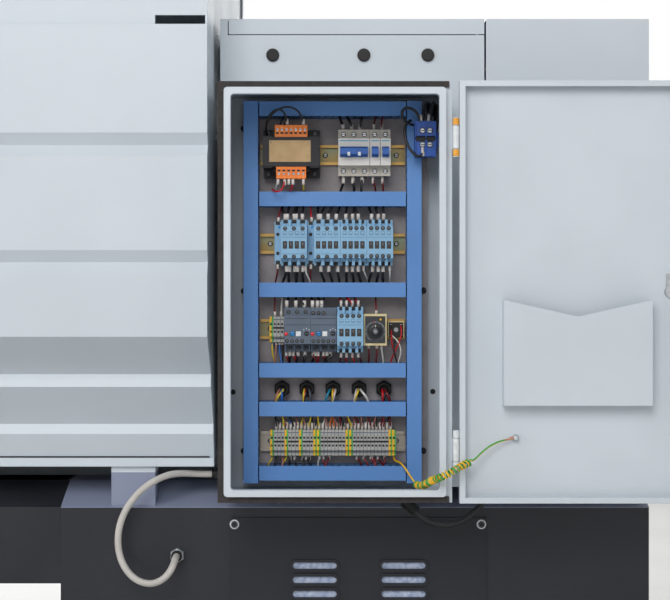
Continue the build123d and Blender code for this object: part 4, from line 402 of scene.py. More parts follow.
class LATHE_OT_finishes(bpy.types.Operator):
    """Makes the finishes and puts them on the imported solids"""

    bl_idname = "lathe.finishes"
    bl_label = "Finishes"

    def execute(self, context):
        tint = context.scene.lathe_colours
        sheet, base, duct, pale, slate = tint.sheet, tint.base, tint.duct, tint.contactor, tint.relay
        # Powder-coated sheet: orange peel of about 1.4 mm, semi-gloss
        finish(
            "sheet_enamel", (shaded(sheet, 0.97), shaded(sheet, 1.02)), 0.42, 240, grain=1.4, depth=0.03,
            edge=1.2,
        )
        finish(
            "cabinet_enamel", (shaded(sheet, 0.98), shaded(sheet, 1.04)), 0.4, 180, grain=1.4, depth=0.03,
            edge=1.0,
        )
        # Hammered enamel on the pedestals: charcoal, and lighter from the shoulder line up, in the shoulder
        # colour that carries a painted pool of light on the sloped shoulder, which the guard shades
        shoulder = [("Z", 514, 700, tuple(tint.shoulder))]
        finish(
            "base_enamel", (shaded(base, 0.9), shaded(base, 1.12)), 0.4, 150, "Voronoi", 5.0, 0.12,
            bands=shoulder, edge=1.5, Specular_IOR_Level=0.35,
        )
        finish(
            "panel_enamel", (shaded(base, 0.92), shaded(base, 1.12)), 0.46, 120, grain=1.3, depth=0.03,
            edge=1.0, Specular_IOR_Level=0.3,
        )
        # The guard's sheet stands on feet whose lower part is painted in the shoulder colour, with its
        # painted light
        feet = [("Z", 500, 576, tuple(tint.shoulder))]
        finish(
            "guard_enamel", (shaded(sheet, 0.97), shaded(sheet, 1.02)), 0.42, 240, grain=1.4, depth=0.03,
            bands=feet, edge=1.2,
        )
        # Non-woven filter mat: coarse fibres drawn at 2 mm so that they show
        finish("filter_mat", ("#A0B0D2", "#D0DAF0"), 0.95, 9, grain=2.0, depth=0.6)
        # As-cast iron, sanded and left bare
        finish("cast_iron", ("#3A3A3D", "#4E4E52"), 0.6, 20, grain=0.9, depth=0.08, Metallic=0.7)
        # Painted castings of bed and headstock: grey filler and enamel
        finish("casting_enamel", ("#7D858B", "#8D959B"), 0.45, 90, grain=2.4, depth=0.06, edge=1.5)
        # Ground steel: fine lines along X, drawn at 0.6 mm so that they show
        finish(
            "ground_steel", ("#B4B6B9", "#CDCFD2"), 0.28, 30, grain=0.6, depth=0.012, stretch=(0.04, 1, 1),
            Metallic=1.0,
        )
        finish("bright_zinc", ("#96999C", "#B2B5B8"), 0.38, 8, grain=0.8, depth=0.02, Metallic=1.0)
        finish("motor_enamel", ("#2A2C30", "#34363B"), 0.45, 40, grain=1.2, depth=0.04, edge=1.0)
        # Moulded rubber and neoprene: dull, slightly dusty
        finish("moulded_rubber", ("#1B1A1B", "#292727"), 0.75, 15, grain=0.9, depth=0.03)
        finish("sponge_rubber", ("#322E2E", "#3F3A3A"), 0.95, 12, grain=1.1, depth=0.25)
        finish("belt_neoprene", ("#161616", "#202020"), 0.8, 12, grain=1.0, depth=0.05)
        # Moulded plastics: even colour, faint flow marks
        finish("mushroom_abs", ("#B3161B", "#C01C20"), 0.35, 30, grain=0.8, depth=0.008)
        finish("knob_abs", ("#1A1B1D", "#242527"), 0.4, 25, grain=0.7, depth=0.012)
        # Zinc plated sheet: cloudy grey, in dull patches of about 38 mm
        plate = tint.plate
        finish(
            "plated_sheet", (shaded(plate, 0.86), shaded(plate, 1.12)), 0.5, 38, grain=1.6, depth=0.03,
            Metallic=0.25,
        )
        # Walls at 0.62 to 0.7 of the duct blue are painted shade; only the lids, 50.2 to 60 mm in front of
        # the plate, keep the full blue
        lids = [("Y", PLATE_Y + 50.2, PLATE_Y + 60, tuple(duct))]
        finish(
            "duct_plastic", (shaded(duct, 0.62), shaded(duct, 0.7)), 0.48, 60, grain=0.9, depth=0.012,
            bands=lids,
        )
        # Yellow chromated zinc on rails: straw to green bloom
        low = [("Y", PLATE_Y + 5.8, PLATE_Y + 9, "#B08E54"), ("Z", 560, 700, "#A39C92")]
        finish(
            "chromated_zinc", ("#877348", "#7B846F"), 0.38, 45, grain=0.7, depth=0.015,
            stretch=(0.06, 1, 1), bands=low, Metallic=0.75,
        )
        # Varnished core: near black, with a faint slow swell along X
        finish(
            "core_varnish", ("#0F0E13", "#19181E"), 0.45, 20, "Wave", 5.0, 0.15, stretch=(0.02, 1, 0.02),
            Specular_IOR_Level=0.35,
        )
        white_nose = [("Y", RAIL_Y + 44.5, RAIL_Y + 70, "#DEDBD6")]
        finish("breaker_moulding", ("#B4AEA4", "#BEB8AE"), 0.5, 25, grain=0.8, depth=0.02, bands=white_nose)
        finish("toggle_polyamide", ("#0F4C98", "#1558A8"), 0.35, 20, grain=0.7, depth=0.008)
        finish(
            "contactor_polyamide", (shaded(pale, 0.96), shaded(pale, 1.04)), 0.42, 30, grain=0.8,
            depth=0.015, edge=0.5,
        )
        finish("contactor_shade", (shaded(pale, 0.52), shaded(pale, 0.6)), 0.5, 20, grain=0.8, depth=0.01)
        finish(
            "relay_polyamide", (shaded(slate, 0.94), shaded(slate, 1.08)), 0.45, 25, grain=0.8, depth=0.02,
            edge=0.5,
        )
        finish("timer_abs", ("#D5C494", "#E2D3A8"), 0.45, 25, grain=0.8, depth=0.015)
        finish("face_black", ("#222426", "#2B2D30"), 0.35, 25, grain=0.8, depth=0.008)
        finish("terminal_polyamide", ("#A9A8A5", "#B8B7B4"), 0.5, 14, grain=0.8, depth=0.015)
        finish("supply_polyamide", ("#0E4596", "#1450A8"), 0.38, 25, grain=0.8, depth=0.01)
        finish(
            "gland_nylon", ("#0B0B0C", "#121213"), 0.5, 15, grain=0.8, depth=0.015, Specular_IOR_Level=0.3
        )
        finish("earth_yellow", ("#F2B51D", "#F8C22C"), 0.4, 12, grain=0.8, depth=0.01)
        finish("earth_green", ("#45A552", "#54B45F"), 0.4, 12, grain=0.8, depth=0.01)
        finish("terminal_orange", ("#F27C20", "#FA8C34"), 0.4, 20, grain=0.8, depth=0.01)
        finish(
            "brass_plate", ("#A98A5C", "#B8996C"), 0.42, 18, grain=0.5, depth=0.01, stretch=(0.05, 1, 1),
            Metallic=0.15,
        )
        finish("cast_zinc", ("#9EA1A4", "#B4B7BA"), 0.32, 10, grain=0.9, depth=0.02, Metallic=1.0)
        # Soft PVC sheaths
        grey = tuple(tint.conduit)
        finish("conduit_pvc", (shaded(grey, 0.94), shaded(grey, 1.08)), 0.5, 30, grain=1.0, depth=0.02)
        finish("cable_black", ("#17171A", "#202024"), 0.45, 20, grain=0.9, depth=0.015)
        for name, low_shade, high_shade in (
            ("wire_black", "#141417", "#1E1E22"),
            ("wire_red", "#B3121C", "#C81A22"),
            ("wire_dark_red", "#6E1019", "#7E1520"),
            ("wire_blue", "#1F63B5", "#2A72C4"),
            ("wire_teal", "#1A7C9C", "#2489A8"),
            ("wire_brown", "#A0685C", "#B0786A"),
            ("wire_orange", "#C8621E", "#D8742C"),
            ("wire_yellow", "#D8BE2C", "#E6CE3E"),
            ("wire_white", "#CFCCC8", "#DEDCD8"),
            ("wire_grey", "#4A4B52", "#5A5B62"),
            ("sleeve_white", "#CDC5BE", "#E3DED9"),
        ):
            finish(name, (low_shade, high_shade), 0.45, 12, grain=0.8, depth=0.01)
        finish("shadow_black", ("#0C0C0D", "#141415"), 0.6, 8, grain=0.8, depth=0.01)
        finish("screw_dark", ("#4E5054", "#64666A"), 0.4, 5, grain=0.8, depth=0.01, Metallic=0.6)
        finish("window_brown", ("#191513", "#241D1A"), 0.4, 6, grain=0.8, depth=0.01)
        finish("button_red", ("#D61F26", "#E22A30"), 0.35, 8, grain=0.8, depth=0.008)
        finish("button_blue", ("#1C7FC4", "#2A90D4"), 0.35, 8, grain=0.8, depth=0.008)
        finish("label_white", ("#DADBDC", "#ECEDEE"), 0.5, 10, grain=0.8, depth=0.008)
        finish("line_cyan", ("#4FA3C4", "#62B2D0"), 0.5, 10, grain=0.8, depth=0.008)
        finish("hinge_orange", ("#E09A2E", "#EBA93E"), 0.4, 10, grain=0.8, depth=0.015)
        finish("nylon_white", ("#D6DADD", "#E6E9EB"), 0.45, 10, grain=0.8, depth=0.015)
        finish("copper_strand", ("#B87455", "#D09070"), 0.35, 2, grain=0.5, depth=0.02, Metallic=0.9)
        # Polycarbonate sheet and the panel's display glass
        glass = finish("window_sheet", ("#E8F0F0", "#F0F6F6"), 0.08, 200, grain=3.0, depth=0.004, IOR=1.58)
        glass.node_tree.nodes["Principled BSDF"].inputs["Transmission Weight"].default_value = 0.92
        finish("display_glass", ("#0E1418", "#131B20"), 0.12, 120, grain=2.0, depth=0.003, IOR=1.52)
        finish("key_grey", ("#7C8288", "#8B9197"), 0.5, 12, grain=0.8, depth=0.012)
        for name, nodes in SOLID_FINISHES.items():
            for node in nodes:
                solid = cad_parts[node]
                if solid.material_slots:
                    solid.material_slots[0].material = bpy.data.materials[name]
                else:
                    solid.data.materials.append(bpy.data.materials[name])
        earth_stripe()
        return {"FINISHED"}


SOLID_FINISHES = {
    "cast_iron": ["levelling_pads"],
    "base_enamel": ["headstock_pedestal", "tailstock_pedestal"],
    "panel_enamel": ["chip_pan", "rear_access_cover", "control_box"],
    "filter_mat": ["louvre_filter"],
    "casting_enamel": ["bed", "headstock", "tailstock"],
    "sheet_enamel": [
        "headstock_cover", "headstock_lid", "end_cover", "guard_hood", "tail_end_guard", "front_apron",
        "sliding_door",
    ],
    "guard_enamel": ["rear_guard"],
    "cabinet_enamel": ["cabinet_body", "cabinet_door"],
    "moulded_rubber": ["cover_plugs"],
    "sponge_rubber": ["cabinet_gasket"],
    "motor_enamel": ["spindle_motor", "feed_motor"],
    "belt_neoprene": ["drive_belt"],
    "ground_steel": [
        "motor_pulley", "spindle", "chuck_body", "chuck_jaw_1", "chuck_jaw_2", "chuck_jaw_3", "saddle",
        "cross_slide", "tool_turret",
        "feed_screw", "tailstock_quill",
    ],
    "bright_zinc": ["tailstock_handwheel"],
    "window_sheet": ["door_window"],
    "mushroom_abs": ["emergency_stop"],
    "knob_abs": ["feed_knob", "pulse_handwheel"],
    "plated_sheet": ["mounting_plate"],
    "duct_plastic": ["wiring_ducts"],
    "chromated_zinc": ["din_rails"],
    "core_varnish": ["control_transformer"],
    "breaker_moulding": ["breakers"],
    "toggle_polyamide": ["main_breaker_toggle", "breaker_toggle_1", "breaker_toggle_2"],
    "contactor_polyamide": ["contactors"],
    "relay_polyamide": ["overload_relays"],
    "timer_abs": ["timer_relay"],
    "face_black": ["timer_dial"],
    "terminal_polyamide": ["terminal_blocks"],
    "supply_polyamide": ["supply_block"],
    "gland_nylon": ["cable_glands"],
    "cast_zinc": ["door_lock"],
    "conduit_pvc": ["conduit"],
    "cable_black": ["cabinet_cable"],
    "earth_yellow": ["earth_lead"],
}


class LATHE_OT_stage(bpy.types.Operator):
    """Makes the camera, the soft light, the pale floor and the white surroundings"""

    bl_idname = "lathe.stage"
    bl_label = "Stage"

    def execute(self, context):
        scene = context.scene
        scene.view_settings.view_transform = "Standard"
        lens = bpy.data.cameras.new("photo_camera")
        lens.sensor_width = 36.0
        lens.lens = 85.7
        lens.shift_y = SHIFT_PIXELS / PHOTO_WIDTH
        lens.clip_end = 60.0
        camera = bpy.data.objects.new("photo_camera", lens)
        camera.location = (CABINET_X * MM, CAMERA_Y, CAMERA_Z)
        camera.rotation_euler = (math.pi / 2, 0, math.pi)
        context.collection.objects.link(camera)
        scene.camera = camera
        for name, place, aim, side, watts in LAMPS:
            light = bpy.data.lights.new(name, "AREA")
            light.shape = "SQUARE"
            light.size = side
            light.energy = watts
            lamp = bpy.data.objects.new(name, light)
            lamp.location = place
            away = np.array(place) - np.array(aim)
            lamp.rotation_euler = (
                math.acos(away[2] / np.linalg.norm(away)), 0, math.atan2(away[1], away[0]) + math.pi / 2
            )
            context.collection.objects.link(lamp)
        surround = bpy.data.worlds.new("white_surround")
        surround.use_nodes = True
        tree = surround.node_tree
        ray = add(tree, "ShaderNodeLightPath")
        seen = add(
            tree, "ShaderNodeMath", {"operation": "MAXIMUM"},
            {0: ray.outputs["Is Camera Ray"], 1: ray.outputs["Is Glossy Ray"]},
        )
        seen = add(
            tree, "ShaderNodeMath", {"operation": "MAXIMUM"},
            {0: seen.outputs[0], 1: ray.outputs["Is Transmission Ray"]},
        )
        level = add(
            tree, "ShaderNodeMapRange", {"To Min": AMBIENT, "To Max": 1.0}, {"Value": seen.outputs[0]}
        )
        back = tree.nodes["Background"]
        back.inputs["Color"].default_value = (1.0, 1.0, 1.0, 1.0)
        tree.links.new(level.outputs["Result"], back.inputs["Strength"])
        scene.world = surround
        half = scene.lathe_sizes.floor / 2
        across = np.linspace(-half, half, FLOOR_POINTS)
        x, y = np.meshgrid(across, across)
        points = np.stack([x, y, np.full_like(x, FLOOR_Z)], -1).reshape(-1, 3)
        number = np.arange(FLOOR_POINTS**2).reshape(FLOOR_POINTS, FLOOR_POINTS)
        squares = [number[:-1, :-1], number[:-1, 1:], number[1:, 1:], number[1:, :-1]]
        faces = np.stack(squares, -1).reshape(-1, 4)
        mesh = bpy.data.meshes.new("pale_floor")
        mesh.from_pydata(points.tolist(), [], faces.tolist())
        mesh.materials.append(
            finish("floor_screed", ("#DEDEDC", "#E6E6E4"), 0.75, 600, grain=3.0, depth=0.05)
        )
        floor = bpy.data.objects.new("pale_floor", mesh)
        context.collection.objects.link(floor)
        return {"FINISHED"}


def route_curve(name, route):
    """One open spline with the route's points as its control points, in metres."""
    curve = bpy.data.curves.new(name, "CURVE")
    curve.dimensions = "3D"
    curve.resolution_u = 12
    spline = curve.splines.new("NURBS")
    points = placed(route) * MM
    spline.points.add(len(points) - 1)
    spline.points.foreach_set("co", np.hstack([points, np.ones((len(points), 1))]).ravel())
    spline.order_u = 3
    spline.use_endpoint_u = True
    made = bpy.data.objects.new(name, curve)
    bpy.context.collection.objects.link(made)
    return made


def cord_piece(name, route, diameter, finish_name, node):
    """A round sheath along a route's spline that stands for a solid."""
    made = route_curve(name, route)
    made.data.bevel_depth = diameter / 2
    made.data.bevel_resolution = 5
    made.data.use_fill_caps = True
    made.data.materials.append(bpy.data.materials[finish_name])
    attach(made, "machine")
    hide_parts(node)
    return made


def even_points(line, count):
    """Points at equal steps of length along a line."""
    length = np.concatenate([[0], np.cumsum(np.linalg.norm(np.diff(line, axis=0), axis=1))])
    wanted = np.linspace(0, length[-1], count)
    return np.stack([np.interp(wanted, length, line[:, axis]) for axis in range(3)], -1), wanted


class LATHE_OT_cords(bpy.types.Operator):
    """Makes the conduit, the black cable and the coiled earth lead"""

    bl_idname = "lathe.cords"
    bl_label = "Cords"

    def execute(self, context):
        sizes = context.scene.lathe_sizes
        conduit = cord_piece("conduit_sheath", CONDUIT_ROUTE, sizes.conduit, "conduit_pvc", "conduit")
        cable = cord_piece("cabinet_cable_sheath", CABLE_ROUTE, sizes.cable, "cable_black", "cabinet_cable")
        self.earth_lead(sizes)
        return {"FINISHED"}

    def earth_lead(self, sizes):
        """A wire wound round the route's spline: line + R(s) (n cos w + b sin w).

        R rises from zero at the coil's start and falls to zero at its end.
        """
        guide = route_curve("earth_guide", EARTH_ROUTE)
        graph = bpy.context.evaluated_depsgraph_get()
        read = bpy.data.meshes.new_from_object(guide.evaluated_get(graph))
        line = np.empty(len(read.vertices) * 3)
        read.vertices.foreach_get("co", line)
        bpy.data.objects.remove(guide)
        line, along = even_points(line.reshape(-1, 3), 900)
        _, normal, across = (rows[0] for rows in carried_frames(line[None]))
        coil_from, coil_to = EARTH_STRAIGHT, along[-1] - EARTH_STRAIGHT
        share = np.clip((along - coil_from) / (coil_to - coil_from), 0, 1)
        rise = np.clip(np.minimum(along - coil_from, coil_to - along) / EARTH_RISE, 0, 1)
        radius = sizes.earth_coil * rise * rise * (3 - 2 * rise)
        turn = np.cumsum(rise * (1.12 - 0.24 * share))
        turn *= 2 * np.pi * EARTH_TURNS / turn[-1]
        wound = line + radius[:, None] * (np.cos(turn)[:, None] * normal + np.sin(turn)[:, None] * across)
        wound, along = even_points(wound, 1000)
        sides = 8
        shape, rows = tubes(wound[None] / MM, sizes.earth_wire / MM / 2, sides)
        made = build_loose("earth_lead_wire", shape, rows, "earth_stripe")
        mesh = made.data
        spans = len(wound) - 1
        u = np.arange(spans)[:, None, None] / spans + np.array([0, 0, 1, 1]) / spans
        v = np.arange(sides)[None, :, None] / sides + np.array([0, 1, 1, 0]) / sides
        side_uv = np.stack(np.broadcast_arrays(u, v), -1).reshape(-1, 2)
        caps = np.tile([[0.0, 0.1]], (sides, 1)), np.tile([[1.0, 0.1]], (sides, 1))
        mesh.uv_layers.new(name="wire").data.foreach_set("uv", np.concatenate([side_uv, *caps]).ravel())
        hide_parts("earth_lead")
        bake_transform(made)


def build_loose(name, points, rows, finish_name):
    """A mesh that rides on no body yet, from points in millimetres."""
    mesh = bpy.data.meshes.new(name)
    mesh.from_pydata((points * MM).tolist(), [], [face for row in rows for face in row.tolist()])
    mesh.polygons.foreach_set("use_smooth", [True] * len(mesh.polygons))
    mesh.materials.append(bpy.data.materials[finish_name])
    made = bpy.data.objects.new(name, mesh)
    bpy.context.collection.objects.link(made)
    return made


def earth_stripe():
    """Green and yellow PVC: the colour follows the way round the wire, and the last 11 mm are bare copper."""
    material = finish("earth_stripe", ("#F0B41E", "#F6C02A"), 0.42, 12, grain=0.8, depth=0.01)
    tree = material.node_tree
    shader = tree.nodes["Principled BSDF"]
    read = add(tree, "ShaderNodeUVMap", {"uv_map": "wire"})
    axes = add(tree, "ShaderNodeSeparateXYZ", {}, {"Vector": read.outputs["UV"]})
    green = add(tree, "ShaderNodeMath", {"operation": "LESS_THAN", 1: 0.5}, {0: axes.outputs["Y"]})
    bare = add(tree, "ShaderNodeMath", {"operation": "GREATER_THAN", 1: 0.989}, {0: axes.outputs["X"]})
    colour = shader.inputs["Base Color"].links[0].from_socket
    for chosen, shade in ((green, "#3E9C46"), (bare, "#C08A6C")):
        paint = {"data_type": "RGBA", 7: rgba(shade)}
        colour = add(tree, "ShaderNodeMix", paint, {0: chosen.outputs[0], 6: colour}).outputs[2]
    tree.links.new(colour, shader.inputs["Base Color"])


class LATHE_OT_transformer(bpy.types.Operator):
    """Makes the transformer's terminals, screws and bare plate"""

    bl_idname = "lathe.transformer"
    bl_label = "Transformer details"

    def execute(self, context):
        front = RAIL_Y + 66
        block_front = RAIL_Y + 64
        parts = []
        for side, poles, width in ((1, 7, 55.0), (-1, 6, 50.0)):
            middle = BREAKER_Z + side * 35.5
            block_middle = placed((TRANSFORMER_X, block_front - 9, middle))
            parts.append((boxes(block_middle, (width + 0.6, 18.6, 21.4), 0.8), "terminal_orange", False))
            pitch = width / poles
            x = TRANSFORMER_X + (np.arange(poles) - (poles - 1) / 2) * pitch
            holes = placed(spots(x, block_front + 0.4, middle - side * 3.4))
            parts.append((boxes(holes, (pitch * 0.62, 0.7, 3.2), 0.2), "shadow_black", False))
            heads = placed(spots(x, block_front + 0.4, middle + side * 2.2))
            parts += screw_heads(heads, 2.3, "bright_zinc")
            ribs = spots(
                TRANSFORMER_X + (np.arange(poles + 1) - poles / 2) * pitch, block_front + 0.6, middle
            )
            parts.append(blocks(ribs, (1.0, 1.6, 21.0), 0.3, "terminal_orange"))
        parts.append(blocks((77, front + 0.35, BREAKER_Z + 1), (71, 0.8, 37), 0.25, "brass_plate"))
        corners = around(77, front + 0.75, BREAKER_Z + 1, 32.5, 15.5)
        parts.append(discs([(1.4, -0.5), (1.4, 0.2), (0.9, 0.7)], corners, 10, "bright_zinc", True))
        feet = around(TRANSFORMER_X, RAIL_Y + 22.2, BREAKER_Z, 40, 35)
        parts.append(discs([(5.5, -0.4), (5.5, 0.6), (5.2, 0.9)], feet, 16, "core_varnish"))
        parts += screw_heads(placed(feet + (0, 0.9, 0)), 3.4, "screw_dark", proud=2.0)
        clamps = around(TRANSFORMER_X, RAIL_Y + 44, BREAKER_Z, 40, 26.4)
        parts.append(blocks(clamps, (16, 42, 2.4), 0.4, "core_varnish"))
        build("transformer_fittings", parts)
        return {"FINISHED"}


class LATHE_OT_breakers(bpy.types.Operator):
    """Makes the breakers' clamp screws, front lines and toggle teeth"""

    bl_idname = "lathe.breakers"
    bl_label = "Breaker details"

    def execute(self, context):
        base, nose = RAIL_Y + 44, RAIL_Y + 62
        poles = BREAKER_EDGE - POLE_WIDTH * (np.arange(5) + 0.5)
        parts = []
        for side in (1, -1):
            places = spots(poles, base + 0.1, BREAKER_Z + side * 31.5)
            parts.append(discs([(4.4, -0.6), (4.4, 0.15), (4.2, 0.25)], places, 16, "shadow_black"))
            parts += screw_heads(placed(places + (0, 0.25, 0)), 3.5, "bright_zinc", proud=0.7)
            mouths = spots(poles, base - 12, BREAKER_Z + side * 39.9)
            parts.append(blocks(mouths, (9, 10, 0.7), 0.2, "shadow_black"))
        for middle, width in ((-32.5, 50), (-68.5, 14), (-86.5, 14)):
            line = placed((middle, nose + 0.2, BREAKER_Z + 19.3))
            parts.append((boxes(line, (width, 0.5, 1.7), 0.1), "line_cyan", False))
        # Thin black boxes between the poles: painted shade in the grooves that part the poles
        pole_groove_shades = spots(poles[:4] - 9, nose - 0.2, BREAKER_Z)[[2, 3]]
        parts.append(blocks(pole_groove_shades, (0.8, 0.7, 46), 0.1, "shadow_black"))
        build("breaker_fittings", parts)
        tip = nose + 18
        gaps = placed([(BREAKER_EDGE - POLE_WIDTH * i, tip - 4.2, BREAKER_Z - 4.5) for i in (1, 2)])
        tooth = [(boxes(gaps, (4.6, 9.2, 6.0), 0.3), "nylon_white", False)]
        build("main_toggle_gaps", tooth, "main_toggle")
        return {"FINISHED"}


def contactor_parts(start, poles, row, parts):
    """One contactor's front: clamp screws, windows with a slider, marking recesses and toothed ends."""
    nose, base = RAIL_Y + 78, RAIL_Y + 52
    x = start - np.linspace(7.6, 37.4, poles)
    four = start - np.array([7.4, 17.5, 27.6, 37.7])
    high, low = (23.4, -24.6) if poles == 3 else (23.8, -23.6)
    for dz in (high, low):
        places = spots(x, nose + 0.05, row + dz)
        parts.append(discs([(3.7, -0.4), (3.7, 0.15), (3.5, 0.25)], places, 14, "shadow_black"))
        parts += screw_heads(placed(places + (0, 0.2, 0)), 2.3, "screw_dark", proud=0.4)
    windows = spots(four, nose + 0.1, row - 4.5)
    parts.append(blocks(windows, (7.4, 0.6, 12.8), 0.2, "window_brown"))
    parts.append(blocks(windows + (0, 0.4, 1.8), (2.6, 0.8, 4.4), 0.2, "screw_dark"))
    marks = spots(four, nose + 0.1, row + 15.6)
    parts.append(blocks(marks, (7.0, 0.5, 6.2), 0.2, "contactor_shade"))
    parts.append(blocks(marks + (0, 0.25, 0.6), (5.6, 0.5, 3.6), 0.2, "contactor_polyamide"))
    lines = np.array([(start - CONTACTOR_WIDTH / 2, nose + 0.05, row + dz) for dz in (8.6, -19.8)])
    parts.append(blocks(lines, (41, 0.5, 0.8), 0.1, "contactor_shade"))
    teeth = start - np.linspace(0, CONTACTOR_WIDTH, poles + 1)[1:-1]
    ends = np.array([(tooth, base + 8.0, row + side * 33.2) for tooth in teeth for side in (1, -1)])
    parts.append(blocks(ends, (5.2, 16.4, 12.0), 0.5, "contactor_polyamide"))
    rims = np.array([(start - CONTACTOR_WIDTH / 2, base + 5.0, row + side * 29.6) for side in (1, -1)])
    parts.append(blocks(rims, (44.2, 10.4, 5.4), 0.5, "contactor_polyamide"))
    mouths = np.array([(pole, base - 3.0, row + side * 36.2) for pole in x for side in (1, -1)])
    parts.append(blocks(mouths, (7.6, 6.6, 6.2), 0.2, "shadow_black"))


class LATHE_OT_contactors(bpy.types.Operator):
    """Makes the contactors' and suppressors' fronts"""

    bl_idname = "lathe.contactors"
    bl_label = "Contactor details"

    def execute(self, context):
        parts = []
        for start, poles in CONTACTORS:
            contactor_parts(start, poles, CONTACTOR_Z, parts)
        contactor_parts(-3.5, 4, RELAY_Z, parts)
        side = RAIL_Y + 50
        for middle in (98.25, 41.75):
            heads = np.array([(middle, side + 0.1, CONTACTOR_Z + dz) for dz in (14.4, -18.1)])
            parts.append(discs([(3.0, -0.4), (3.0, 0.15), (2.8, 0.25)], heads, 12, "shadow_black"))
            mouths = np.array([(middle, side - 3.0, CONTACTOR_Z + dz) for dz in (33.4, -33.4)])
            parts.append(blocks(mouths, (7.4, 6.6, 5.6), 0.2, "shadow_black"))
            clip = np.array([(middle - 2.6, side + 0.2, CONTACTOR_Z + 27)])
            parts.append(blocks(clip, (3.4, 0.6, 5.0), 0.2, "button_blue"))
        build("contactor_fittings", parts)
        return {"FINISHED"}


class LATHE_OT_relays(bpy.types.Operator):
    """Makes the overload relays' and the timer's fronts and the rectifier's terminals"""

    bl_idname = "lathe.relays"
    bl_label = "Relay details"

    def execute(self, context):
        top, front, foot = RAIL_Y + 56, RAIL_Y + 72, RAIL_Y + 40
        parts = []
        upper = ((7.4, 22.0, 36.6), (4.6, 13.8, 22.4))
        lower = (np.array([5.0, 13.8, 22.2, 31.0]), np.array([5.0, 13.4, 22.0, 30.6, 39.2]))
        for number, start in enumerate((87.0, 42.0)):
            rows = (
                (upper[number], top, 30.5 - number * 2, 3.6),
                (lower[number], front, -19.0, 3.4),
                ((9.8, 24.0, 38.0), foot, -31.0, 3.4),
            )
            for xs, y, dz, radius in rows:
                places = np.array([(start - x, y + 0.05, RELAY_Z + dz) for x in xs])
                parts.append(
                    discs([(radius, -0.4), (radius, 0.2), (radius - 0.2, 0.3)], places, 14, "shadow_black")
                )
                parts += screw_heads(placed(places + (0, 0.2, 0)), radius - 1.4, "screw_dark", proud=0.4)
            z = RELAY_Z - 6.8
            red = placed((start - 3.6, front, z))
            parts.append((turned([(3.1, -0.5), (3.1, 1.6), (2.5, 2.1)], red, sides=18), "button_red", True))
            blue = placed((start - 14.4, front, z + 0.4))
            parts.append(
                (turned([(4.6, -0.5), (4.6, 0.5), (4.4, 0.6)], blue, sides=20), "shadow_black", False)
            )
            parts.append(
                (turned([(3.9, 0.4), (3.9, 1.8), (3.4, 2.3)], blue, sides=20), "button_blue", True)
            )
            parts.append((boxes(blue + (0, 2.4, 0), (5.0, 0.5, 1.0), 0.1), "shadow_black", False))
            parts.append(blocks((start - 24.6, front + 0.3, z + 0.2), (8.2, 0.8, 8.2), 0.3, "label_white"))
            dial = placed((start - 38.4, front, z + 0.4))
            parts.append(
                (turned([(4.2, -0.5), (4.2, 0.5), (3.4, 0.9)], dial, sides=20), "shadow_black", False)
            )
            parts.append((boxes(dial + (0, 0.9, 0), (5.4, 0.5, 1.0), 0.1), "relay_polyamide", False))
            marks = np.array(
                [(start - 38.4 + dx, front + 0.1, z + dz) for dx, dz in ((-4.5, 7), (0, 9), (4.5, 7))]
            )
            parts.append(blocks(marks, (1.2, 0.3, 2.2), 0.1, "label_white"))
            grooves = spots(start - CONTACTOR_WIDTH / 2, front + 0.05, RELAY_Z + np.array([19.5, 8.5]))
            parts.append(blocks(grooves, (41, 0.4, 0.8), 0.1, "shadow_black"))
            tabs = np.array([(start - x, foot + 6, RELAY_Z - 31) for x in (2.0, 17.0, 31.0, 43.0)])
            parts.append(blocks(tabs, (2.4, 12.4, 13.4), 0.3, "relay_polyamide"))
        build("overload_fittings", parts)
        face = RAIL_Y + 62
        middle = -69.0
        frame_parts = [blocks((middle, face + 0.1, RELAY_Z), (34.5, 0.5, 46.5), 0.2, "face_black")]
        ring = placed((middle, face + 0.3, RELAY_Z - 3))
        ring_profile = [(17.6, -0.2), (17.6, 0.5), (17.2, 0.7), (16.5, 0.7), (16.3, 0.2)]
        frame_parts.append((turned(ring_profile, ring, sides=40), "key_grey", True))
        turns = np.deg2rad(np.arange(-135, 136, 27))
        ticks = spots(middle + 15.7 * np.sin(turns), face + 0.6, RELAY_Z - 3 + 15.7 * np.cos(turns))
        frame_parts.append(blocks(ticks, (0.9, 0.5, 0.9), 0.1, "label_white"))
        lamp = placed((middle - 9.0, face + 0.2, RELAY_Z + 17.5))
        frame_parts.append(
            (turned([(2.0, -0.3), (2.0, 0.5), (1.2, 1.1)], lamp, sides=14), "earth_yellow", True)
        )
        frame_parts.append(
            blocks((middle + 2.5, face + 0.6, RELAY_Z + 13.2), (1.8, 0.7, 3.6), 0.2, "button_red")
        )
        bridge = RAIL_Y + 22
        frame_parts.append(blocks((-106, bridge + 0.6, RELAY_Z - 1), (25, 1.4, 26), 0.4, "shadow_black"))
        hub = placed((-106, bridge + 1.2, RELAY_Z - 1))
        frame_parts.append(
            (turned([(4.2, -0.4), (4.2, 0.8), (3.6, 1.2)], hub, sides=18), "bright_zinc", False)
        )
        frame_parts += screw_heads(hub + (0, 1.2, 0), 2.8, "bright_zinc", proud=1.2)
        tags = around(-106, bridge + 4, RELAY_Z - 1, 9.0, 9.5)
        frame_parts.append(blocks(tags, (4.4, 6.6, 0.9), 0.2, "bright_zinc"))
        build("timer_fittings", frame_parts)
        dial_front = face + 8.1
        centre = (middle, dial_front, RELAY_Z - 3)
        grip = [(12.4, -0.4), (12.4, 0.4), (10.6, 1.4), (7.4, 1.6), (7.0, 3.4), (5.6, 4.0)]
        knob = [discs(grip, centre, 36, "knob_abs", True)]
        knob.append(discs([(3.4, 3.6), (3.4, 4.3), (2.6, 4.6)], centre, 24, "key_grey", True))
        knob.append(blocks((middle, dial_front + 1.4, RELAY_Z + 6), (1.1, 0.7, 5.0), 0.2, "label_white"))
        build("timer_knob", knob, "timer_dial")
        return {"FINISHED"}


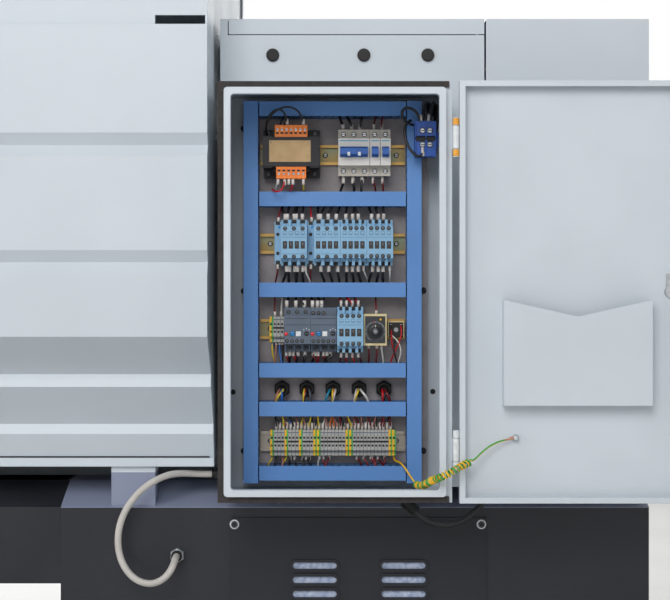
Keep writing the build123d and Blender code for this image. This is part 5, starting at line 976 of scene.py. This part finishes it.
def terminal_parts(start, count, row, earths, parts):
    """Rail terminals: entry holes, a dark joint band, parting lines, and green and yellow earth blocks."""
    nose, step = RAIL_Y + 40, RAIL_Y + 31
    x = start - TERMINAL_PITCH * (np.arange(count) + 0.5)
    for dz, size in ((9.4, 3.4), (-3.9, 3.4)):
        holes = spots(x, nose + 0.5, row + dz)
        parts.append(blocks(holes, (size, 0.8, size), 0.2, "shadow_black"))
    band = placed((start - TERMINAL_PITCH / 2 * count, nose + 0.1, row + 2.8))
    parts.append((boxes(band, (TERMINAL_PITCH * count - 0.4, 0.6, 3.4), 0.1), "shadow_black", False))
    steps = np.array([(start - TERMINAL_PITCH / 2 * count, step + 0.1, row + dz) for dz in (17.4, -16.0)])
    parts.append(blocks(steps, (TERMINAL_PITCH * count - 0.4, 0.5, 1.4), 0.1, "relay_polyamide"))
    lines = spots(start - TERMINAL_PITCH * np.arange(1, count), nose - 0.1, row)
    parts.append(blocks(lines, (0.8, 0.5, 24), 0.1, "wire_grey"))
    ledges = np.concatenate([lines + (0, step - nose, dz) for dz in (17, -17)])
    parts.append(blocks(ledges, (0.8, 0.5, 9.6), 0.1, "wire_grey"))
    for number in earths:
        middle = x[number]
        for y, z, height in ((nose - 3, row, 24.4), (step - 2.9, row, 44.6)):
            left = placed((middle + 1.3, y, z))
            right = placed((middle - 1.8, y, z))
            parts.append((boxes(left, (3.6, 7.0, height), 0.3), "earth_yellow", False))
            parts.append((boxes(right, (2.6, 7.0, height), 0.3), "earth_green", False))
        knobs = np.array([(middle + 0.2, nose + 0.55, row + 9.4), (middle + 0.2, nose + 0.55, row - 3.9)])
        parts.append(blocks(knobs, (4.8, 0.3, 5.0), 0.1, "earth_green"))
        parts.append(blocks(knobs[1:] + (0.4, 0.15, 0), (4.2, 0.3, 4.6), 0.1, "earth_yellow"))
        parts.append(blocks(knobs + (0, 0.3, 0), (2.4, 0.6, 2.4), 0.2, "shadow_black"))


class LATHE_OT_terminals(bpy.types.Operator):
    """Makes the terminal strips' faces, the supply block's screws and the glands' rings"""

    bl_idname = "lathe.terminals"
    bl_label = "Terminal details"

    def execute(self, context):
        parts = []
        terminal_parts(112.0, 35, TERMINAL_Z, EARTH_BLOCKS, parts)
        terminal_parts(113.0, 4, RELAY_Z, (0,), parts)
        build("terminal_faces", parts)
        front = PLATE_Y + 85
        places = np.array([(-148.8 - 12.7 * i, front, z) for i in (0, 1) for z in (1169.7, 1145.9)])
        parts = [discs([(5.2, -0.5), (5.2, 0.5), (5.0, 0.7)], places, 20, "shadow_black")]
        parts += screw_heads(placed(places + (0, 0.6, 0)), 4.3, "bright_zinc", proud=1.4)
        parts.append(blocks((-154, front - 5.7, 1156), (35, 0.8, 9), 0.2, "shadow_black"))
        walls = np.array([(x, front - 1, z) for x in (-137, -154.9, -171.2) for z in (1169, 1143)])
        parts.append(blocks(walls, (2.2, 5.0, 22), 0.4, "supply_polyamide"))
        build("supply_fittings", parts)
        mouths = np.array([(x, PLATE_Y + 24, GLAND_Z) for x in (92.5, 49.0, 3.5, -42.0, -85.5)])
        ring = [(12.0, -1.0), (12.0, 0.4), (11.2, 1.2), (8.8, 1.4), (8.0, 0.8), (7.6, -6.0)]
        parts = [discs(ring, mouths, 28, "gland_nylon", True)]
        ribs = np.deg2rad(np.arange(0, 360, 30))
        knurl = np.array(
            [
                (x + 12.0 * np.cos(a), PLATE_Y + 17, GLAND_Z + 12.0 * np.sin(a))
                for x, *_ in mouths
                for a in ribs
            ]
        )
        parts.append(blocks(knurl, (2.0, 12.0, 2.0), 0.4, "gland_nylon"))
        build("gland_rings", parts)
        return {"FINISHED"}


def slot_near(x):
    """The duct slot that is nearest: first + pitch x round((x - first) / pitch)."""
    return SLOT_FIRST + SLOT_PITCH * np.clip(np.round((x - SLOT_FIRST) / SLOT_PITCH), 0, SLOT_LAST)


def loom(x, start_y, start_z, duct, lean=0.0, seed=1):
    """Control points of wires from terminals into a duct: out of the sleeve, a loose bend, then a slot."""
    chance = np.random.default_rng(seed)
    x = np.asarray(x, float)
    count = len(x)
    away = np.sign(DUCT_ROWS[duct] - start_z)
    edge = DUCT_ROWS[duct] - away * DUCT_HALF
    gap = abs(edge - start_z)
    slot = slot_near(x + lean)
    depth = PLATE_Y + 24 + 7.0 * (np.arange(count) % 3)
    sway = chance.uniform(-3.0, 3.0, count)
    belly = chance.uniform(2.0, 9.0, count)
    rows = [
        (x, start_y, start_z),
        (x, start_y, start_z + away * gap * 0.36),
        (x + sway, start_y + belly, start_z + away * gap * 0.6),
        (slot + sway * 0.4, depth + belly, edge - away * gap * 0.28),
        (slot, depth, edge),
        (slot, depth, DUCT_ROWS[duct]),
    ]
    return np.stack([spots(*row) for row in rows], axis=1)


def strip_row(first, end):
    """X of the long strip's terminals from first up to end: 108 - pitch x number."""
    return tuple(108.0 - TERMINAL_PITCH * i for i in range(first, end))


WIRE_LETTERS = {
    "K": "wire_black", "R": "wire_red", "D": "wire_dark_red", "W": "wire_white", "N": "wire_brown",
    "O": "wire_orange", "Y": "wire_yellow",
    "B": "wire_blue", "G": "wire_grey", "T": "wire_teal",
}
# Wires per row: X of each terminal, its colours, depth and height of the terminals, duct,
# sleeve length, power wires or not
LOOMS = (
    ((-13.8, -28.4, -43.0), "KKK", BREAKER_CLAMP_Y, BREAKER_Z + 40, 0, 10, True),
    ((-67.2, -80.9), "DD", BREAKER_CLAMP_Y, BREAKER_Z + 40, 0, 10, False),
    ((-14.5, -31.0, -47.0), "KKK", BREAKER_CLAMP_Y, BREAKER_Z - 40, 1, 12, True),
    ((-65.5, -82.0), "DD", BREAKER_CLAMP_Y, BREAKER_Z - 40, 1, 12, False),
    ((85.7, 82.0, 70.0, 66.5, 56.0), "KKKKK", CONTACTOR_CLAMP_Y, CONTACTOR_Z + 39, 1, 11, True),
    ((28.4, 25.0, 11.7, -2.2), "KKKK", CONTACTOR_CLAMP_Y, CONTACTOR_Z + 39, 1, 11, True),
    (
        (-18.7, -30.2, -40.0, -63.0, -74.5, -83.6), "KKKKKK", CONTACTOR_CLAMP_Y, CONTACTOR_Z + 39, 1, 11,
        True,
    ),
    ((97.2, 40.0), "DR", SUPPRESSOR_CLAMP_Y, CONTACTOR_Z + 36, 1, 8, False),
    ((83.1, 78.0, 69.2, 64.5, 55.3), "KKKKK", CONTACTOR_CLAMP_Y, CONTACTOR_Z - 39, 2, 11, True),
    ((24.0, 10.8, -4.8, -20.4, -30.2, -40.0), "KKKKKK", CONTACTOR_CLAMP_Y, CONTACTOR_Z - 39, 2, 11, True),
    ((-64.7, -74.5, -82.8), "KKK", CONTACTOR_CLAMP_Y, CONTACTOR_Z - 39, 2, 11, True),
    ((-49.1, -94.2, 50.5), "WWW", CONTACTOR_CLAMP_Y, CONTACTOR_Z - 39, 2, 9, False),
    ((98.6, 41.5), "DD", SUPPRESSOR_CLAMP_Y, CONTACTOR_Z - 36, 2, 9, False),
    ((83.0, 67.4, 52.6, 38.7, 30.2, 23.1), "KKKKKK", CONTACTOR_CLAMP_Y, RELAY_Z + 38, 2, 12, True),
    ((-10.5, -19.9, -29.9, -40.0), "RRRR", CONTACTOR_CLAMP_Y, RELAY_Z + 39, 2, 11, False),
    ((-71.0,), "D", RAIL_Y + 50, RELAY_Z + 27, 2, 6, False),
    ((104.5, 93.2), "DW", TERMINAL_CLAMP_Y, RELAY_Z + 22, 2, 9, False),
    ((84.0, 72.0, 38.0, 29.0, 20.0), "RRDRR", RAIL_Y + 36, RELAY_Z - 38, 3, 8, False),
    ((78.0, 64.0, 52.0, 34.0, 14.0, 8.0), "KKKKKK", RAIL_Y + 34, RELAY_Z - 38, 3, 8, True),
    ((-10.5, -19.9, -29.9, -40.0), "DRRD", CONTACTOR_CLAMP_Y, RELAY_Z - 39, 3, 9, False),
    ((-58.0, -72.0, -80.0), "DDW", RAIL_Y + 40, RELAY_Z - 27, 3, 6, False),
    ((109.0, 102.0, 96.0, 91.0), "YNBK", TERMINAL_CLAMP_Y, RELAY_Z - 22, 3, 5, False),
    (strip_row(1, 8), "KKYNBKN", TERMINAL_CLAMP_Y, TERMINAL_Z + 22, 4, 13, False),
    (strip_row(8, 17), "YNYKKYWNO", TERMINAL_CLAMP_Y, TERMINAL_Z + 22, 4, 12, False),
    (strip_row(17, 26), "ONDKDYNDN", TERMINAL_CLAMP_Y, TERMINAL_Z + 22, 4, 12, False),
    (strip_row(26, 34), "NDNKDDKD", TERMINAL_CLAMP_Y, TERMINAL_Z + 22, 4, 13, False),
    ((109.0, 103.0, 91.0, 84.0), "YKNY", TERMINAL_CLAMP_Y, TERMINAL_Z - 22, 5, 2, False),
    ((77.0, 70.0, 56.0, 50.0, 44.0), "KKKKK", TERMINAL_CLAMP_Y, TERMINAL_Z - 22, 5, 9, False),
    ((27.0, 20.0, 10.0), "WDD", TERMINAL_CLAMP_Y, TERMINAL_Z - 22, 5, 8, False),
    ((-38.0, -50.0, -62.0, -74.0, -86.0, -66.0), "DDDDDD", TERMINAL_CLAMP_Y, TERMINAL_Z - 22, 5, 8, False),
)
# Wires that leave a gland's bore: gland, colour, X at the bore and at the duct
GLAND_WIRES = (
    (92.5, "N", 4, 7), (92.5, "B", 0, 2), (92.5, "Y", -3, 15), (49.0, "R", 2, 1), (49.0, "Y", 4, 6),
    (49.0, "K", 0, 1), (49.0, "G", -4, -9),
    (3.5, "T", 5, 11), (3.5, "Y", 0, 3), (3.5, "R", -2, 0), (3.5, "W", -4, -5), (-42.0, "W", 4, 9),
    (-42.0, "Y", 1, 3), (-42.0, "W", -2, -11),
    (-42.0, "N", 3, 6), (-85.5, "R", 3, 8), (-85.5, "D", -1, -7), (-85.5, "K", -4, -3),
)
# Loops that hang in front of the ducts: colour, diameter and control points
LOOPS = (
    ("K", 3.4, (82, 440, 1178), (82, 441, 1196), (84, 455, 1222),
     (112, 456, 1216), (124, 446, 1188), (122, 424, 1168), (112, 410, 1160)),
    ("K", 3.4, (54, 440, 1178), (54, 442, 1194), (58, 456, 1226),
     (100, 458, 1224), (126, 452, 1196), (124, 426, 1166), (114, 408, 1158)),
    ("K", 3.8, (94, 440, 1178), (93, 441, 1188), (90, 428, 1196),
     (88, 404, 1199), (88, 400, 1205), (88, 400, 1210), (88, 400, 1211)),
    ("K", 3.8, (87, 440, 1178), (86, 441, 1188), (80, 428, 1196),
     (79, 404, 1199), (79, 400, 1205), (79, 400, 1210), (79, 400, 1211)),
    ("R", 3.2, (86, 440, 1092), (86, 441, 1078), (88, 452, 1058),
     (106, 454, 1060), (112, 440, 1074), (108, 414, 1080), (104, 404, 1062)),
    ("R", 3.2, (72, 440, 1092), (72, 441, 1080), (72, 444, 1068),
     (78, 438, 1070), (80, 410, 1072), (79, 402, 1064), (79, 402, 1056)),
    ("Y", 3.2, (54, 440, 1092), (54, 441, 1080), (54, 436, 1072),
     (54, 420, 1072), (54, 404, 1070), (54, 402, 1064), (54, 402, 1056)),
    ("W", 3.2, (97, 440, 1092), (98, 441, 1080), (103, 432, 1072),
     (104, 412, 1072), (104, 404, 1070), (104, 402, 1064), (104, 402, 1056)),
    ("K", 5.0, (-146, 454, 1178), (-146, 456, 1196), (-138, 460, 1216),
     (-108, 462, 1222), (-102, 460, 1196), (-116, 456, 1182), (-134, 446, 1180)),
    ("K", 5.0, (-130, 446, 1188), (-114, 456, 1184), (-112, 462, 1158),
     (-124, 462, 1126), (-146, 460, 1112), (-152, 458, 1126), (-149, 457, 1140)),
    ("K", 6.4, (-150, 452, 1188), (-150, 452, 1200), (-152, 448, 1214),
     (-158, 430, 1226), (-162, 410, 1226), (-164, 390, 1220), (-164, 380, 1210)),
    ("K", 6.4, (-162, 452, 1188), (-162, 452, 1202), (-165, 450, 1216),
     (-170, 432, 1228), (-172, 410, 1226), (-172, 390, 1216), (-172, 380, 1204)),
    ("K", 6.4, (-168, 440, 1150), (-176, 440, 1180), (-178, 440, 1206),
     (-176, 432, 1226), (-176, 412, 1226), (-176, 392, 1210), (-176, 376, 1190)),
    ("R", 2.8, (-98, 405, 829), (-98, 412, 822), (-96, 414, 806),
     (-100, 412, 796), (-104, 408, 790), (-108, 402, 778), (-108, 402, 762)),
    ("R", 2.8, (-114, 405, 838), (-116, 414, 830), (-116, 416, 812),
     (-110, 414, 800), (-100, 410, 792), (-96, 402, 778), (-96, 402, 762)),
    ("W", 2.8, (-98, 405, 820), (-104, 414, 816), (-116, 416, 806),
     (-118, 412, 792), (-114, 408, 784), (-108, 402, 776), (-108, 402, 762)),
    ("K", 2.8, (-106, 405, 816), (-104, 414, 806), (-98, 416, 796),
     (-100, 412, 788), (-108, 408, 782), (-108, 404, 774), (-108, 402, 762)),
)
# Pale sleeves on single wires: both ends
SLEEVES = (
    ((82, 440, 1181), (82, 441, 1192)), ((54, 440, 1181), (54, 442, 1191)),
    ((-146, 454, 1180), (-146, 456, 1197)),
    ((-159, 453, 1180), (-160, 453, 1197)), ((-150, 458, 1126), (-148.6, 457.5, 1141)),
    ((86, 440, 1090), (86, 441, 1078)), ((72, 440, 1090), (72, 441, 1079)),
    ((54, 440, 1090), (54, 441, 1079)),
    ((97, 440, 1090), (98, 441, 1079)), ((79, 440, 1090), (79, 441, 1079)),
)


class LATHE_OT_wires(bpy.types.Operator):
    """Makes the fixed wiring between the devices and the ducts"""

    bl_idname = "lathe.wires"
    bl_label = "Cabinet wiring"

    def execute(self, context):
        sizes = context.scene.lathe_sizes
        power, control = sizes.power_wire / MM / 2, sizes.control_wire / MM / 2
        runs, sleeves = {}, []
        for number, (x, letters, y, z, duct, sleeve, heavy) in enumerate(LOOMS):
            controls = loom(x, y, z, duct, lean=3.0 * (-1) ** number, seed=number)
            radius = power if heavy else control
            for letter in dict.fromkeys(letters):
                chosen = [i for i, other in enumerate(letters) if other == letter]
                runs.setdefault(WIRE_LETTERS[letter], []).append(
                    tubes(bent(placed(controls[chosen])), radius)
                )
            if sleeve:
                away = np.sign(DUCT_ROWS[duct] - z)
                foot = controls[:, 0]
                ends = np.stack(
                    [foot, foot + (0, 0, away * sleeve * 0.5), foot + (0, 0.4, away * sleeve)], axis=1
                )
                sleeves.append(tubes(placed(ends), radius + 0.85, 8))
        for gland, colour, from_x, to_x in GLAND_WIRES:
            slot = slot_near(gland + to_x)
            bottom = DUCT_ROWS[4] + DUCT_HALF
            line = [
                (gland + from_x, PLATE_Y + 10, GLAND_Z), (gland + from_x, PLATE_Y + 30, GLAND_Z + 1),
                (gland + from_x * 1.3, PLATE_Y + 42, GLAND_Z - 4),
                (slot, PLATE_Y + 40, bottom + 8), (slot, PLATE_Y + 32, bottom),
                (slot, PLATE_Y + 28, bottom - 12),
            ]
            runs.setdefault(WIRE_LETTERS[colour], []).append(tubes(bent(placed([line])), control * 1.45))
        for colour, diameter, *line in LOOPS:
            runs.setdefault(WIRE_LETTERS[colour], []).append(tubes(bent(placed([line]), 26), diameter / 2))
        for colour, shapes in runs.items():
            build(colour + "s", [(shape, colour, True) for shape in shapes])
        for low, high in SLEEVES:
            sleeves.append(tubes(placed([[low, (np.array(low) + high) / 2, high]]), 2.6, 8))
        build("wire_sleeves", [(shape, "sleeve_white", True) for shape in sleeves])
        return {"FINISHED"}


class LATHE_OT_fasteners(bpy.types.Operator):
    """Makes the screws of rails, plate and covers, the hinge caps and the wall plugs"""

    bl_idname = "lathe.fasteners"
    bl_label = "Fasteners and hinge caps"

    def execute(self, context):
        parts = []
        rails = np.array(
            [
                (x, PLATE_Y + 1.0, z)
                for z in (BREAKER_Z, CONTACTOR_Z, RELAY_Z, TERMINAL_Z)
                for x in (113.5, -107.5)
            ]
        )
        rails[0, 0] = 17.0
        parts.append(discs([(4.6, -0.4), (4.6, 0.3), (4.4, 0.5)], rails, 16, "shadow_black"))
        parts += screw_heads(placed(rails + (0, 0.4, 0)), 3.4, "bright_zinc", proud=1.6)
        studs = np.array(
            [
                (160, PLATE_Y, 1181.5), (160, PLATE_Y, 897), (160, PLATE_Y, 617), (-155, PLATE_Y, 898),
                (-155, PLATE_Y, 617),
            ]
        )
        parts.append(discs([(5.4, -0.3), (5.4, 3.4), (4.4, 4.6)], studs, 20, "moulded_rubber", True))
        plugs = np.array([(180, 352.0, 718.6), (-172.8, 352.0, 719.6)])
        parts.append(discs([(4.6, -0.5), (4.6, 1.0), (3.6, 1.8)], plugs, 16, "moulded_rubber", True))
        build("cabinet_screws", parts)
        low, high = (np.array(corner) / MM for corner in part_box("rear_access_cover"))
        across, up = (low[0] + 9.5, high[0] - 6.5), (low[2] + 12, high[2] - 12)
        corners = np.array([(x, REAR_SHEET_Y, z) for x in across for z in up])
        parts = [(turned([(8.4, -0.4), (8.4, 1.0), (8.0, 1.4)], corners, sides=28), "nylon_white", False)]
        parts.append(
            (
                turned([(6.0, 1.0), (6.0, 3.2), (5.4, 3.6), (4.6, 3.6), (4.4, 2.0)], corners, sides=24),
                "screw_dark", False,
            )
        )
        parts.append(
            (turned([(4.4, 1.5), (4.4, 2.3), (4.2, 2.4)], corners, sides=6), "shadow_black", False)
        )
        build("access_cover_screws", parts)
        # A black strip along the guard: painted shadow in the gap between the guard's sheet and its bottom
        # rail
        low, high = (np.array(corner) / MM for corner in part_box("rear_guard"))
        gap_shadow = [((low[0] + high[0]) / 2, 345.6, 603.4)]
        build("guard_gap_shadow", [(boxes(gap_shadow, (high[0] - low[0] - 16, 3.0, 2.6), 0.3), "shadow_black", False)])
        nut = np.array([(278.4, REAR_SHEET_Y - 3.0, 430.8)])
        ring = [(13.4, 0.0), (13.4, 9.6), (12.4, 10.6), (10.6, 10.6)]
        parts = [discs(ring, nut, 6, "bright_zinc")]
        parts.append(discs([(10.4, 10.0), (10.4, 12.4), (9.8, 13.0), (7.0, 13.0)], nut, 28, "bright_zinc"))
        build("conduit_nut", parts)
        axis = (-742.7, 566.0)
        for name, centre, ends, middle in (
            ("upper", 1147.5, "hinge_orange", "nylon_white"), ("lower", 637.0, "nylon_white", "nylon_white")
        ):
            feet = np.array([(*axis, centre + 20.0), (*axis, centre - 31.0)])
            cap = [(4.9, 0.0), (5.3, 0.4), (5.3, 10.8), (4.9, 11.2)]
            build(name + "_hinge_caps", [(turned(cap, feet, (0, 0, 1), 20), ends, False)], "cabinet_door")
            sleeve = [(4.9, -18.0), (5.2, -17.6), (5.2, 17.6), (4.9, 18.0)]
            build(
                name + "_hinge_sleeve", [(turned(sleeve, [(*axis, centre)], (0, 0, 1), 20), middle, False)]
            )
        stud = (-840.7, 558.0, 656.0)
        lug = [(turned([(5.4, -0.5), (5.4, 0.6), (5.0, 0.9)], [stud], sides=24), "bright_zinc", False)]
        lug.append((boxes([(-836.0, 558.6, 655.6)], (9, 1.2, 4.4), 0.3), "copper_strand", False))
        build("earth_stud_lug", lug, "cabinet_door")
        return {"FINISHED"}


class LATHE_OT_front_panel(bpy.types.Operator):
    """Makes the operator panel's display, keys and collars"""

    bl_idname = "lathe.front_panel"
    bl_label = "Operator panel details"

    def execute(self, context):
        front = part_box("control_box")[0][1] / MM
        parts = [(boxes([(-650, front + 2.6, 1270)], (216, 1.2, 156), 0.4), "display_glass", False)]
        keys = np.array([(-512 + 18 * i, front - 1.0, 1340 - 18 * j) for i in range(5) for j in range(9)])
        parts.append((boxes(keys, (14, 3.0, 14), 0.8), "key_grey", False))
        soft = np.array([(-745 + 27 * i, front - 1.0, 1168) for i in range(8)])
        parts.append((boxes(soft, (20, 3.0, 11), 0.8), "key_grey", False))
        marked = np.array([(-745 + 40 * i, front - 1.4, 1120) for i in range(4)])
        parts.append(
            (turned([(9.0, -3.0), (9.0, 2.0), (8.0, 3.2)], marked, (0, -1, 0), 24), "nylon_white", False)
        )
        cap = [(7.0, 3.0), (7.0, 5.0), (6.0, 6.0)]
        for lamps, colour in (
            (marked[:1], "earth_green"), (marked[1:2], "button_red"), (marked[2:], "key_grey")
        ):
            parts.append((turned(cap, lamps, (0, -1, 0), 24), colour, True))
        collar = np.array([(-470, front, 1010)])
        parts.append(
            (turned([(26, -0.5), (26, 1.0), (25, 1.6)], collar, (0, -1, 0), 36), "earth_yellow", False)
        )
        build("operator_panel_keys", parts)
        return {"FINISHED"}


ORDER = (
    "finishes", "stage", "cords", "transformer", "breakers", "contactors", "relays", "terminals", "wires",
    "fasteners", "front_panel",
)


class LATHE_PT_sidebar(bpy.types.Panel):
    """Lists the lathe's operators"""

    bl_idname = "LATHE_PT_sidebar"
    bl_label = "Turning lathe"
    bl_space_type = "VIEW_3D"
    bl_region_type = "UI"
    bl_category = "Lathe"

    def draw(self, context):
        for name in ORDER:
            self.layout.operator("lathe." + name)


CLASSES = (
    LatheColours, LatheSizes, LATHE_OT_finishes, LATHE_OT_stage, LATHE_OT_cords, LATHE_OT_transformer,
    LATHE_OT_breakers,
    LATHE_OT_contactors, LATHE_OT_relays, LATHE_OT_terminals, LATHE_OT_wires, LATHE_OT_fasteners,
    LATHE_OT_front_panel, LATHE_PT_sidebar,
)


def register():
    for kind in CLASSES:
        bpy.utils.register_class(kind)
    bpy.types.Scene.lathe_colours = bpy.props.PointerProperty(type=LatheColours)
    bpy.types.Scene.lathe_sizes = bpy.props.PointerProperty(type=LatheSizes)


def unregister():
    del bpy.types.Scene.lathe_colours
    del bpy.types.Scene.lathe_sizes
    for kind in reversed(CLASSES):
        bpy.utils.unregister_class(kind)


def main():
    register()
    for name in ORDER:
        getattr(bpy.ops.lathe, name)()


if __name__ == "__main__":
    main()
